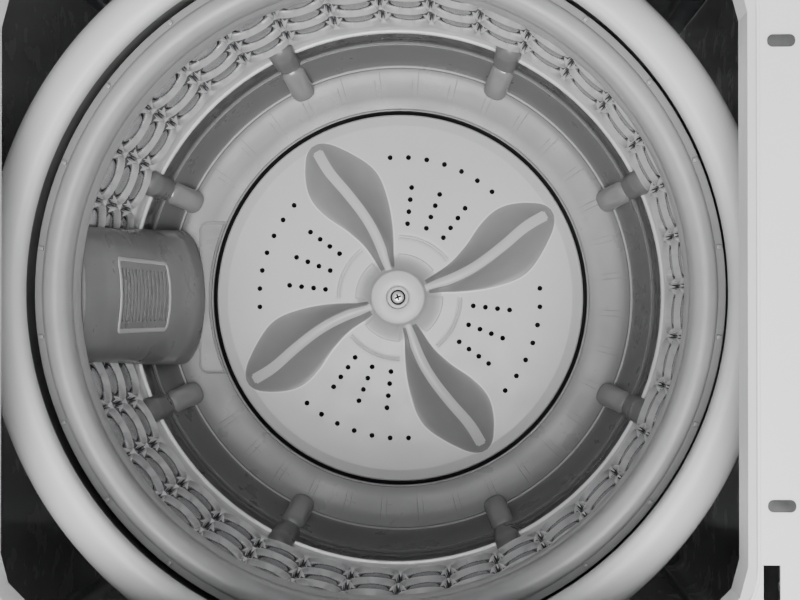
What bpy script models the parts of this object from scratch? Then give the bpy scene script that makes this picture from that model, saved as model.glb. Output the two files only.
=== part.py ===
"""Top load washing machine: cabinet, lid, hanging tub, basket, impeller, drive and plumbing.

Metres, +Z up. The origin is the middle of the footprint on the floor, the front faces -Y, and the
lid is hinged at the back. At rest the lid stands open.
"""

import math

import bmesh
import bpy
from mathutils import Matrix, Vector

# Overall sizes.
WIDTH = 0.686
DEPTH = 0.690
DECK_Z = 0.940
CONSOLE_Z = 1.100
PORT_REACH = 0.018  # the ports stand out behind the rear panel by this much
GAP = 0.0003  # between pieces that touch
SHEET = 0.0012  # cabinet steel
SHELL = 0.0025  # moulded plastic covers

# The cabinet's faces, and the height of its sheet metal.
SIDE_X = WIDTH / 2
FRONT_Y = -DEPTH / 2
BACK_Y = DEPTH / 2 - PORT_REACH
CABINET_LOW = 0.030
CABINET_HIGH = 0.9247
CORNER = 0.014

# The drum: its axis, and the plane of the impeller's rim that its heights count from.
DRUM_Y = -0.010
RIM_Z = 0.370
IMPELLER_R = 0.1935
RECESS_R = 0.1968
BASKET_R = 0.260
RING_R = 0.240
RING_TOP = 0.783
WALL_TOP = 0.7477
TUB_R = 0.275
TUB_FLOOR = 0.2995
TUB_TOP = 0.806
COVER_R = 0.2588
SPIN_TUBE_R = 0.020
SHAFT_R = 0.009
AROUND = 36  # segments around the drum

# The mouth in the deck.
MOUTH_X = 0.250
MOUTH_FRONT = DRUM_Y - 0.220
MOUTH_BACK = DRUM_Y + 0.220
LIP_LOW = 0.905

# The lid, whose pieces are modelled shut about the hinge's axis.
HINGE_Y = 0.228
HINGE_Z = DECK_Z + 0.012
OPEN_ANGLE = math.radians(96)
LID_X = 0.285
LID_FRONT = -0.4835
LID_BACK = -0.0125
LID_LOW = -0.0105
LID_HIGH = 0.0115
EAR_X = 0.2335  # middle of each hinge ear
TAB_X = 0.2485  # middle of each lid tab
PIN_R = 0.004
STRIKE = (0.264, -0.433, -0.030)  # the eye that the lock bolt enters

# The console's sloping face, whose pieces lie in its own frame: X right, Y up the face, Z out.
FACE_FOOT = (0.250, DECK_Z + 0.0005)
FACE_TOP = (0.292, CONSOLE_Z - 0.004)
FACE_TILT = math.atan2(FACE_TOP[0] - FACE_FOOT[0], FACE_TOP[1] - FACE_FOOT[1])
CONSOLE_WALL = 0.003
KNOB = (-0.040, 0.082)
LENS = (0.085, 0.088)
LENS_SIZE = (0.120, 0.040)
ROUND_BUTTONS = {"power_button": (-0.225, 0.082, 0.011), "start_button": (0.225, 0.082, 0.014)}
OPTION_BUTTONS = {"option_button_1": (0.050, 0.046), "option_button_2": (0.120, 0.046)}
OPTION_SIZE = (0.040, 0.011)

# The suspension, drive and drain.
ROD_OFFSET = 0.245  # each way from the drum's axis
ROD_R = 0.0035
HANGER_Z = 0.899
LUG_LOW = 0.455
LUG_HIGH = 0.475
SEAT_Z = 0.374
MOTOR_Y = 0.178  # from the drum's axis
BELT_Z = 0.1255
DRIVE_PULLEY_R = 0.075
MOTOR_PULLEY_R = 0.022
DRAIN = (0.165, -0.130)  # from the drum's axis
DRAIN_LOW = 0.280
PUMP_INLET_Z = 0.150
TRAP_ANGLE = math.radians(50)
TRAP_R = 0.288  # of the air trap's spigot, from the drum's axis
HOSE_PORT = (0.240, 0.150)  # X and Z of the drain port in the rear panel
GLAND = (-0.260, 0.200)  # X and Z of the cord's gland in the rear panel
FOOT_X = 0.310
FOOT_FRONT = -0.312
FOOT_BACK = 0.294

# The water inlet, level sensor, detergent drawer and lid lock.
VALVE = (-0.140, 0.301, 1.020)
VALVE_PORTS = (-0.170, -0.110)
SENSOR = (0.190, 0.301, 1.000)
DRAWER_LOW = (-0.2000, 0.2125, 0.8520)
DRAWER_HIGH = (-0.0600, 0.3120, 0.8980)
LOCK_Y = HINGE_Y + STRIKE[1]
LOCK_Z = HINGE_Z + STRIKE[2]

COLOURS = {
    "white_enamel": ((0.80, 0.80, 0.79), 0.30, 0.0),
    "deck_plastic": ((0.74, 0.74, 0.73), 0.38, 0.0),
    "cover_plastic": ((0.66, 0.66, 0.65), 0.42, 0.0),
    "grey_plastic": ((0.36, 0.36, 0.37), 0.36, 0.0),
    "impeller_plastic": ((0.58, 0.58, 0.58), 0.34, 0.0),
    "ring_plastic": ((0.42, 0.42, 0.43), 0.36, 0.0),
    "tub_plastic": ((0.62, 0.63, 0.62), 0.45, 0.0),
    "stainless": ((0.62, 0.62, 0.63), 0.22, 1.0),
    "zinc_steel": ((0.52, 0.53, 0.54), 0.42, 1.0),
    "cast_aluminium": ((0.60, 0.61, 0.62), 0.45, 1.0),
    "dark_plastic": ((0.045, 0.046, 0.050), 0.35, 0.0),
    "button_plastic": ((0.55, 0.56, 0.57), 0.30, 0.0),
    "tinted_glass": ((0.10, 0.11, 0.12), 0.06, 0.0),
    "rubber": ((0.030, 0.030, 0.031), 0.75, 0.0),
    "board_green": ((0.03, 0.16, 0.07), 0.50, 0.0),
    "motor_paint": ((0.10, 0.11, 0.12), 0.45, 0.0),
}


def clear_scene():
    for obj in list(bpy.data.objects):
        bpy.data.objects.remove(obj, do_unlink=True)


def material(name):
    """The named plain material, made when it is first used."""
    found = bpy.data.materials.get(name)
    if found:
        return found
    colour, roughness, metallic = COLOURS[name]
    made = bpy.data.materials.new(name)
    made.use_nodes = True
    shader = made.node_tree.nodes["Principled BSDF"]
    shader.inputs["Base Color"].default_value = (*colour, 1.0)
    shader.inputs["Roughness"].default_value = roughness
    shader.inputs["Metallic"].default_value = metallic
    return made


def axis_empty(name, location, rotation_x=0.0, parent=None):
    """An empty on a joint's axis, which the pieces that move there hang from."""
    empty = bpy.data.objects.new(name, None)
    empty.empty_display_size = 0.03
    empty.location = location
    empty.rotation_euler.x = rotation_x
    empty.parent = parent
    bpy.context.scene.collection.objects.link(empty)
    return empty


def solid(name, finish, sections, ring=False, parent=None, place=None):
    """A closed body through equal sections. A ring joins the last to the first, or both are capped."""
    count = len(sections[0])
    points = [point for section in sections for point in section]
    faces = []
    for index in range(len(sections) if ring else len(sections) - 1):
        low = index * count
        high = (index + 1) % len(sections) * count
        for side in range(count):
            beside = (side + 1) % count
            faces.append((low + side, low + beside, high + beside, high + side))
    if not ring:
        faces.append(tuple(reversed(range(count))))
        faces.append(tuple(range(len(points) - count, len(points))))
    mesh = bpy.data.meshes.new(name)
    mesh.from_pydata(points, [], faces)
    if place:
        mesh.transform(place)
    work = bmesh.new()
    work.from_mesh(mesh)
    bmesh.ops.recalc_face_normals(work, faces=work.faces)
    work.to_mesh(mesh)
    work.free()
    mesh.shade_smooth()
    mesh.set_sharp_from_angle(angle=math.radians(35))
    mesh.materials.append(material(finish))
    obj = bpy.data.objects.new(name, mesh)
    obj.parent = parent
    bpy.context.scene.collection.objects.link(obj)
    return obj


def circle(radius, z, centre=(0.0, 0.0), count=AROUND):
    turns = [2 * math.pi * step / count for step in range(count)]
    return [(centre[0] + radius * math.cos(a), centre[1] + radius * math.sin(a), z) for a in turns]


def turned(name, finish, profile, centre=(0.0, 0.0), count=AROUND, **options):
    """A turned body: profile holds (radius, height), the heights along Z."""
    return solid(name, finish, [circle(r, z, centre, count) for r, z in profile], **options)


def rounded(low, high, radius, z, corner=3):
    """A level rectangle from low to high (X, Y) with round corners."""
    centres = [
        (high[0] - radius, high[1] - radius),
        (low[0] + radius, high[1] - radius),
        (low[0] + radius, low[1] + radius),
        (high[0] - radius, low[1] + radius),
    ]
    points = []
    for quarter, (x, y) in enumerate(centres):
        for step in range(corner + 1):
            angle = math.pi / 2 * (quarter + step / corner)
            points.append((x + radius * math.cos(angle), y + radius * math.sin(angle), z))
    return points


def grown(low, high, by):
    return (low[0] - by, low[1] - by), (high[0] + by, high[1] + by)


def box(name, finish, low, high, **options):
    outline = [(low[0], low[1]), (high[0], low[1]), (high[0], high[1]), (low[0], high[1])]
    sections = [[(x, y, z) for x, y in outline] for z in (low[2], high[2])]
    return solid(name, finish, sections, **options)


def along(direction, origin):
    """A frame whose Z runs along the direction from the origin."""
    turn = Vector(direction).to_track_quat("Z", "Y").to_matrix().to_4x4()
    return Matrix.Translation(origin) @ turn


def helper(obj):
    obj.hide_render = True
    obj.display_type = "WIRE"
    return obj


def boolean(obj, operation, other):
    modifier = obj.modifiers.new(f"{operation.lower()} {other.name}", "BOOLEAN")
    modifier.operation = operation
    modifier.object = helper(other)
    modifier.solver = "EXACT"


def join(obj, *others):
    for other in others:
        boolean(obj, "UNION", other)


def cut(obj, *others):
    for other in others:
        boolean(obj, "DIFFERENCE", other)


def bore(name, radius, start, direction, length, count=16, parent=None):
    """A cutter for a round hole from start along the direction."""
    profile = [(radius, 0.0), (radius, length)]
    place = along(direction, start)
    return turned(name, "dark_plastic", profile, count=count, place=place, parent=parent)


def hose(name, finish, radius, route, parent=None):
    """A round hose along a smooth curve through the route's points."""
    points = smooth(route)
    curve = bpy.data.curves.new(name, "CURVE")
    curve.dimensions = "3D"
    curve.bevel_depth = radius
    curve.bevel_resolution = 1
    curve.use_fill_caps = True
    spline = curve.splines.new("POLY")
    spline.points.add(len(points) - 1)
    for point, place in zip(spline.points, points):
        point.co = (*place, 1.0)
    curve.materials.append(material(finish))
    obj = bpy.data.objects.new(name, curve)
    obj.parent = parent
    bpy.context.scene.collection.objects.link(obj)
    return obj


def smooth(route, steps=4):
    """Points on a Catmull-Rom curve through the route."""
    places = [Vector(place) for place in route]
    ends = [places[0] * 2 - places[1], *places, places[-1] * 2 - places[-2]]
    points = []
    for first, second, third, fourth in zip(ends, ends[1:], ends[2:], ends[3:]):
        for step in range(steps):
            t = step / steps
            bend = 2 * first - 5 * second + 4 * third - fourth
            twist = 3 * second - 3 * third + fourth - first
            points.append((2 * second + (third - first) * t + bend * t**2 + twist * t**3) / 2)
    return [*points, places[-1]]


def make_base_frame():
    """The steel frame in the cabinet's foot: an upright wall and a flange with the feet's holes."""
    low = (-SIDE_X + SHEET + GAP, FRONT_Y + SHEET + GAP)
    high = (SIDE_X - SHEET - GAP, BACK_Y - SHEET - GAP)
    floor_z = CABINET_LOW + GAP
    levels = [(0.0, 0.0), (0.0, 0.045), (-SHELL, 0.045), (-SHELL, SHELL), (-0.045, SHELL), (-0.045, 0.0)]
    sections = []
    for inset, height in levels:
        corner = max(CORNER + inset, 0.004)
        sections.append(rounded(*grown(low, high, inset), corner, floor_z + height))
    frame = solid("base_frame", "zinc_steel", sections, ring=True)
    for x, y in foot_places():
        cut(frame, bore("foot hole", 0.0056, (x, y, floor_z - 0.005), (0, 0, 1), 0.02))


def foot_places():
    return [(x, y) for y in (FOOT_FRONT, FOOT_BACK) for x in (-FOOT_X, FOOT_X)]


def make_feet():
    profile = [(0.019, 0.0), (0.022, 0.003), (0.022, 0.010), (0.010, 0.013), (0.010, 0.018), (0.005, 0.018)]
    profile.append((0.005, 0.055))
    for number, (x, y) in enumerate(foot_places(), start=1):
        axis = axis_empty(f"foot_axis_{number}", (x, y, 0.0))
        turned(f"levelling_foot_{number}", "rubber", profile, count=12, parent=axis)


def make_cabinet_wrap():
    """The front and both sides, one bent sheet, with a hanger for a suspension rod in each corner."""
    path = [(SIDE_X, BACK_Y)]
    for side, start in ((1, 0.0), (-1, -math.pi / 2)):
        centre = (side * (SIDE_X - CORNER), FRONT_Y + CORNER)
        for step in range(5):
            angle = start - math.pi / 2 * step / 4
            path.append((centre[0] + CORNER * math.cos(angle), centre[1] + CORNER * math.sin(angle)))
    path.append((-SIDE_X, BACK_Y))
    sections = []
    for x, y in path:
        centre = Vector((max(-SIDE_X + CORNER, min(SIDE_X - CORNER, x)), max(FRONT_Y + CORNER, y)))
        inward = (centre - Vector((x, y))).normalized() * SHEET
        inner = (x + inward.x, y + inward.y)
        edge = [(x, y, CABINET_LOW), (x, y, CABINET_HIGH), (*inner, CABINET_HIGH), (*inner, CABINET_LOW)]
        sections.append(edge)
    wrap = solid("cabinet_wrap", "white_enamel", sections)
    for x, y in rod_places():
        side = math.copysign(1, x)
        depth = FRONT_Y + SHEET / 2 if y < DRUM_Y else BACK_Y - 2 * SHEET
        reach = math.copysign(0.020, y - depth)
        wall = side * (SIDE_X - SHEET / 2)
        inner_x = x - side * 0.020
        inner_y = y + reach
        outline = [
            (wall, depth), (wall, inner_y), (x + side * 0.02, inner_y), (inner_x, y), (inner_x, depth),
        ]
        sections = [[(*point, z) for point in outline] for z in (HANGER_Z - 0.004, HANGER_Z)]
        join(wrap, solid("hanger", "zinc_steel", sections))
        cut(wrap, bore("rod hole", 0.0060, (x, y, HANGER_Z - 0.01), (0, 0, 1), 0.02))


def make_rear_panel():
    x = SIDE_X - SHEET - GAP
    low, high = (-x, BACK_Y - SHEET, CABINET_LOW + GAP), (x, BACK_Y, CABINET_HIGH)
    panel = box("rear_panel", "zinc_steel", low, high)
    port = (HOSE_PORT[0], BACK_Y - 0.01, HOSE_PORT[1])
    gland = (GLAND[0], BACK_Y - 0.01, GLAND[1])
    cut(panel, bore("port hole", 0.0150, port, (0, 1, 0), 0.02))
    cut(panel, bore("gland hole", 0.0090, gland, (0, 1, 0), 0.02))


def make_rear_ports():
    """The drain's outlet and the cord's gland, each turned about an axis that points backwards."""
    place = along((0, 1, 0), (HOSE_PORT[0], BACK_Y, HOSE_PORT[1]))
    profile = [
        (0.010, -0.012), (0.0145, -0.012), (0.0145, GAP), (0.024, GAP), (0.024, 0.004), (0.014, 0.004),
        (0.014, PORT_REACH), (0.010, PORT_REACH),
    ]
    turned("drain_port", "dark_plastic", profile, count=16, ring=True, place=place)
    place = along((0, 1, 0), (GLAND[0], BACK_Y, GLAND[1]))
    profile = [
        (0.0045, -0.009), (0.0086, -0.009), (0.0086, GAP), (0.014, GAP), (0.014, 0.003), (0.0085, 0.014),
        (0.0045, 0.014),
    ]
    turned("cord_gland", "dark_plastic", profile, count=16, ring=True, place=place)


def make_top_panel():
    """The deck, with a lip round its mouth, ears for the hinge pins and a slot for the strike."""
    low, high = (-SIDE_X, FRONT_Y), (SIDE_X, BACK_Y)
    mouth = (-MOUTH_X, MOUTH_FRONT), (MOUTH_X, MOUTH_BACK)
    under = DECK_Z - SHELL
    skirt = CABINET_HIGH + GAP
    sections = [
        rounded(low, high, CORNER, skirt),
        rounded(low, high, CORNER, DECK_Z - 0.004),
        rounded(*grown(low, high, -0.003), CORNER - 0.003, DECK_Z),
        rounded(*grown(*mouth, 0.006), 0.046, DECK_Z),
        rounded(*mouth, 0.040, DECK_Z - 0.005),
        rounded(*mouth, 0.040, LIP_LOW),
        rounded(*grown(*mouth, SHELL), 0.0425, LIP_LOW),
        rounded(*grown(*mouth, SHELL), 0.0425, under - 0.003),
        rounded(*grown(*mouth, 0.006), 0.046, under),
        rounded(*grown(low, high, -0.004), CORNER - 0.004, under),
        rounded(*grown(low, high, -SHELL), CORNER - SHELL, under - 0.003),
        rounded(*grown(low, high, -SHELL), CORNER - SHELL, skirt),
    ]
    deck = solid("top_panel", "deck_plastic", sections, ring=True)
    axis = axis_empty("hinge_axis", (0.0, HINGE_Y, HINGE_Z))
    for side in (-1, 1):
        x = side * EAR_X
        ear_low, ear_high = (x - 0.007, -0.008, -0.0135), (x + 0.007, 0.008, 0.008)
        join(deck, box("ear", "deck_plastic", ear_low, ear_high, parent=axis))
        cut(deck, bore("ear hole", PIN_R + GAP, (x - 0.01, 0, 0), (1, 0, 0), 0.02, parent=axis))
    for radius, (x, y, _) in ((0.0070, SENSOR), (0.0140, VALVE)):
        cut(deck, bore("hose hole", radius, (x, y, under - 0.01), (0, 0, 1), 0.02))
    slot_low = (STRIKE[0] - 0.0055, LOCK_Y - 0.017, under - 0.01)
    slot_high = (STRIKE[0] + 0.0055, LOCK_Y + 0.017, DECK_Z + 0.01)
    cut(deck, box("strike slot", "dark_plastic", slot_low, slot_high))


def make_lid():
    """The lid in its hinge's frame, shut, and turned open by the empty that it hangs from."""
    hinge = axis_empty("lid_axis", (0.0, HINGE_Y, HINGE_Z), rotation_x=-OPEN_ANGLE)
    low, high = (-LID_X, LID_FRONT), (LID_X, LID_BACK)
    pane = (-LID_X + 0.050, LID_FRONT + 0.055), (LID_X - 0.050, LID_BACK - 0.050)
    seat = 0.0050
    sections = [
        rounded(*grown(low, high, -0.003), 0.027, LID_LOW),
        rounded(low, high, 0.030, LID_LOW + 0.003),
        rounded(low, high, 0.030, LID_HIGH - 0.005),
        rounded(*grown(low, high, -0.005), 0.025, LID_HIGH),
        rounded(*pane, 0.020, LID_HIGH),
        rounded(*pane, 0.020, seat),
        rounded(*grown(*pane, -0.015), 0.012, seat),
        rounded(*grown(*pane, -0.015), 0.012, LID_LOW),
    ]
    frame = solid("lid_frame", "deck_plastic", sections, ring=True, parent=hinge)
    for side in (-1, 1):
        x = side * TAB_X
        low, high = (x - 0.007, -0.020, -0.007), (x + 0.007, 0.008, 0.007)
        join(frame, box("tab", "deck_plastic", low, high, parent=hinge))
        cut(frame, bore("tab hole", PIN_R + GAP, (x - 0.01, 0, 0), (1, 0, 0), 0.02, parent=hinge))
    x, y, z = STRIKE
    low, high = (x - 0.002, y - 0.010, z - 0.008), (x + 0.002, y + 0.010, LID_LOW + 0.0015)
    join(frame, box("strike", "deck_plastic", low, high, parent=hinge))
    cut(frame, bore("strike eye", 0.0046, (x - 0.005, y, z), (1, 0, 0), 0.01, parent=hinge))
    glass = [rounded(*grown(*pane, -GAP), 0.020, z) for z in (seat + GAP, LID_HIGH - 0.0005)]
    solid("lid_glass", "tinted_glass", glass, parent=hinge)
    low, high = (-0.075, LID_FRONT - 0.014), (0.075, LID_FRONT - GAP)
    grip = [rounded(low, high, 0.006, z) for z in (-0.004, 0.006)]
    solid("lid_handle", "stainless", grip, parent=hinge)
    profile = [(PIN_R, 0), (PIN_R, 0.029)]
    for side, word in ((-1, "left"), (1, "right")):
        place = along((1, 0, 0), (side * (EAR_X + TAB_X) / 2 - 0.0145, 0, 0))
        turned(f"hinge_pin_{word}", "zinc_steel", profile, count=12, place=place, parent=hinge)


def make_lid_lock():
    """The lock under the deck, and its bolt, which slides through the eye of the lid's strike."""
    low = (STRIKE[0] + 0.0105, LOCK_Y - 0.020, LOCK_Z - 0.016)
    high = (STRIKE[0] + 0.0620, LOCK_Y + 0.020, DECK_Z - SHELL - 2 * GAP)
    lock = box("lid_lock", "dark_plastic", low, high)
    mouth = (low[0] - 0.005, LOCK_Y, LOCK_Z)
    cut(lock, bore("bolt bore", 0.0041, mouth, (1, 0, 0), 0.045))
    axis = axis_empty("bolt_axis", (STRIKE[0] + 0.008, LOCK_Y, LOCK_Z))
    profile = [(0.0026, 0), (0.0035, 0.002), (0.0035, 0.036)]
    turned("lock_bolt", "zinc_steel", profile, count=12, place=along((1, 0, 0), (0, 0, 0)), parent=axis)


def console_outline(inset, x, rear, foot):
    """The console's profile at one X, pulled in by inset, with its own rear and foot."""
    slope = inset / math.cos(FACE_TILT)
    top = CONSOLE_Z - inset
    front_top = FACE_TOP[1] - inset
    run = math.tan(FACE_TILT)
    foot_y = FACE_FOOT[0] + (foot - FACE_FOOT[1]) * run + slope
    top_y = FACE_FOOT[0] + (front_top - FACE_FOOT[1]) * run + slope
    return [
        (x, foot_y, foot), (x, top_y, front_top), (x, top_y + 0.006, top), (x, rear, top), (x, rear, foot),
    ]


def make_console():
    """The console's shell, open at the back and below, with holes in its face for the controls."""
    foot = FACE_FOOT[1]
    outer = [console_outline(0.0, x, BACK_Y, foot) for x in (-SIDE_X, SIDE_X)]
    housing = solid("console_housing", "deck_plastic", outer)
    x = SIDE_X - CONSOLE_WALL
    inner = [console_outline(CONSOLE_WALL, end, BACK_Y + 0.02, foot - 0.02) for end in (-x, x)]
    cut(housing, solid("console hollow", "dark_plastic", inner))
    face = axis_empty("console_face", (0.0, *FACE_FOOT), rotation_x=math.pi / 2 - FACE_TILT)
    back = -CONSOLE_WALL - 0.004
    cut(housing, bore("knob hole", 0.0048, (*KNOB, back), (0, 0, 1), 0.02, parent=face))
    windows = [(corners(LENS, LENS_SIZE, GAP), 0.006)]
    windows += [(corners(place, OPTION_SIZE, 0.0005), 0.004) for place in OPTION_BUTTONS.values()]
    for window, radius in windows:
        sections = [rounded(*window, radius, z) for z in (back, 0.01)]
        cut(housing, solid("window", "dark_plastic", sections, parent=face))
    for x, y, radius in ROUND_BUTTONS.values():
        cut(housing, bore("button hole", radius + 0.0005, (x, y, back), (0, 0, 1), 0.02, parent=face))
    make_controls(face)
    make_rear_cover()


def corners(middle, size, margin=0.0):
    """Lowest and highest corner of a rectangle, from its middle and size, with a margin all round."""
    half_x, half_y = size[0] / 2 + margin, size[1] / 2 + margin
    return (middle[0] - half_x, middle[1] - half_y), (middle[0] + half_x, middle[1] + half_y)


def make_controls(face):
    """The lens, board, knob and buttons, in the frame of the console's face."""
    sections = [rounded(*corners(LENS, LENS_SIZE), 0.006, z) for z in (-0.0040, 0.0003)]
    solid("display_window", "tinted_glass", sections, parent=face)
    low, high = (-0.080, 0.035, -0.0260), (0.155, 0.118, -0.0244)
    board = box("control_board", "board_green", low, high, parent=face)
    for low, high in (
        ((0.030, 0.070, -0.0250), (0.140, 0.104, -0.0060)),
        ((-0.050, 0.072, -0.0250), (-0.030, 0.092, -0.0200)),
    ):
        join(board, box("component", "dark_plastic", low, high, parent=face))
    knob = axis_empty("knob_axis", (*KNOB, 0.0), parent=face)
    profile = [
        (0.004, -0.016), (0.004, 0.001), (0.027, 0.001), (0.028, 0.003), (0.026, 0.016), (0.024, 0.018),
    ]
    turned("cycle_knob", "button_plastic", profile, count=24, parent=knob)
    for name, (x, y, radius) in ROUND_BUTTONS.items():
        axis = axis_empty(name + "_axis", (x, y, 0.0), parent=face)
        profile = [(radius - 0.001, -0.010), (radius, -0.009), (radius, 0.002), (radius - 0.001, 0.003)]
        turned(name, "button_plastic", profile, count=16, parent=axis)
    for name, place in OPTION_BUTTONS.items():
        axis = axis_empty(name + "_axis", (*place, 0.0), parent=face)
        sections = [rounded(*corners((0.0, 0.0), OPTION_SIZE), 0.004, z) for z in (-0.009, 0.0022)]
        solid(name, "button_plastic", sections, parent=axis)


def make_rear_cover():
    """The console's back, with holes for the valve's ports."""
    x = SIDE_X - CONSOLE_WALL - GAP
    top = CONSOLE_Z - CONSOLE_WALL - GAP
    low, high = (-x, BACK_Y - SHELL, FACE_FOOT[1]), (x, BACK_Y, top)
    cover = box("console_rear_cover", "deck_plastic", low, high)
    for x in VALVE_PORTS:
        place = (x, BACK_Y - 0.01, VALVE[2])
        cut(cover, bore("valve hole", 0.0138, place, (0, 1, 0), 0.02, 20))


def make_water_inlet():
    """The inlet valve, with two threaded ports at the back and a spigot down to the fill hose."""
    x, y, z = VALVE
    low, high = (x - 0.048, y - 0.015, z - 0.020), (x + 0.048, y + 0.020, z + 0.025)
    valve = box("inlet_valve", "dark_plastic", low, high)
    for port in VALVE_PORTS:
        place = along((0, 1, 0), (port, y + 0.010, z))
        length = BACK_Y + PORT_REACH - y - 0.010
        join(valve, turned("port", "dark_plastic", [(0.013, 0), (0.013, length)], count=20, place=place))
        cut(valve, bore("port bore", 0.009, (port, y + 0.022, z), (0, 1, 0), 0.04))
    spigot_low = z - 0.035
    profile = [(0.008, spigot_low), (0.008, z)]
    join(valve, turned("spigot", "dark_plastic", profile, centre=(x, y), count=16))
    route = [(x, y, spigot_low - GAP), (x, y, z - 0.060), (x, y, DECK_Z - SHELL - GAP)]
    hose("fill_hose", "rubber", 0.0095, route)


def make_level_sensor():
    """The pressure sensor in the console and the thin hose down to the air trap on the tub's side."""
    x, y, z = SENSOR
    profile = [(0.003, z - 0.018), (0.003, z), (0.019, z + 0.001), (0.019, z + 0.018), (0.015, z + 0.021)]
    turned("level_sensor", "dark_plastic", profile, centre=(x, y), count=20)
    trap_x = TRAP_R * math.cos(TRAP_ANGLE)
    trap_y = DRUM_Y + TRAP_R * math.sin(TRAP_ANGLE)
    route = [(x, y, z - 0.018 - GAP), (x, y, 0.940), (x, y, 0.700), (x, y, 0.500), (x, y - 0.030, 0.430)]
    route += [(trap_x, trap_y + 0.010, 0.402), (trap_x, trap_y, 0.386), (trap_x, trap_y, 0.3745)]
    hose("pressure_hose", "rubber", 0.003, route)


def make_detergent_drawer():
    """The drawer under the deck's rear edge, which slides forward over the basket."""
    low, high = DRAWER_LOW, DRAWER_HIGH
    wall = SHELL
    room = 0.0006
    outer_low = (low[0] - room - wall, low[1] + 0.003, low[2] - room - wall)
    outer_high = (high[0] + room + wall, high[1] + room + wall, DECK_Z - SHELL - 2 * GAP)
    housing = box("dispenser_housing", "deck_plastic", outer_low, outer_high)
    slot_low = (low[0] - room, low[1] - 0.02, low[2] - room)
    slot_high = (high[0] + room, high[1] + room, high[2] + room)
    cut(housing, box("drawer slot", "dark_plastic", slot_low, slot_high))
    chamber_low = (low[0] + 0.004, low[1] - 0.02, high[2] + 0.006)
    chamber_high = (high[0] - 0.004, high[1] - 0.006, outer_high[2] - 0.004)
    cut(housing, box("water chamber", "dark_plastic", chamber_low, chamber_high))
    axis = axis_empty("drawer_axis", ((low[0] + high[0]) / 2, low[1], (low[2] + high[2]) / 2))
    size = Vector(high) - Vector(low)
    half_x, half_z = size.x / 2, size.z / 2
    drawer_low, drawer_high = (-half_x, 0, -half_z), (half_x, size.y, half_z)
    drawer = box("detergent_drawer", "deck_plastic", drawer_low, drawer_high, parent=axis)
    for left, right in ((-half_x + wall, -0.010), (-0.007, half_x - wall)):
        cup_low, cup_high = (left, wall, -half_z + wall), (right, size.y - wall, half_z + 0.01)
        cut(drawer, box("cup", "dark_plastic", cup_low, cup_high, parent=axis))


def make_suspension(tub):
    """Four rods from the hangers, each with a seat and a spring that carries a lug of the tub."""
    profile = [
        (0.010, SEAT_Z - 0.010), (0.017, SEAT_Z - 0.006), (0.017, SEAT_Z), (ROD_R, SEAT_Z),
        (ROD_R, HANGER_Z + GAP), (0.009, HANGER_Z + GAP), (0.009, HANGER_Z + 0.007),
        (0.005, HANGER_Z + 0.011),
    ]
    for number, (x, y) in enumerate(rod_places(), start=1):
        turned(f"suspension_rod_{number}", "zinc_steel", profile, centre=(x, y), count=10)
        make_spring(f"suspension_spring_{number}", (x, y), SEAT_Z + GAP, LUG_LOW - GAP)
        side_x = math.copysign(1, x)
        side_y = math.copysign(1, y - DRUM_Y)
        across = Vector((side_x, side_y)).normalized()
        beside = Vector((-across.y, across.x)) * 0.018
        near = across * (TUB_R + 0.002)
        far = Vector((side_x, side_y)) * (ROD_OFFSET + 0.012)
        outline = [near - beside, far - beside, far + beside, near + beside]
        sections = [[(point.x, point.y, z) for point in outline] for z in (LUG_LOW, LUG_HIGH)]
        join(tub, solid("lug", "tub_plastic", sections, parent=tub.parent))
        place = (side_x * ROD_OFFSET, side_y * ROD_OFFSET, LUG_LOW - 0.01)
        cut(tub, bore("lug hole", 0.0065, place, (0, 0, 1), 0.04, 12, parent=tub.parent))


def rod_places():
    return [(x, DRUM_Y + y) for y in (-ROD_OFFSET, ROD_OFFSET) for x in (-ROD_OFFSET, ROD_OFFSET)]


def make_spring(name, centre, low, high):
    """A wire coil between two heights, its section turned to follow the wire."""
    turns, wire, radius = 5, 0.0016, 0.0122
    steps = turns * 8
    sections = []
    for step in range(steps + 1):
        angle = 2 * math.pi * turns * step / steps
        outward = Vector((math.cos(angle), math.sin(angle), 0.0))
        z = low + wire + (high - low - 2 * wire) * step / steps
        middle = Vector((*centre, z)) + outward * radius
        sections.append([
            middle + (outward * math.cos(a) + Vector((0, 0, math.sin(a)))) * wire
            for a in (2 * math.pi * side / 4 for side in range(4))
        ])
    solid(name, "zinc_steel", sections)


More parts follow.
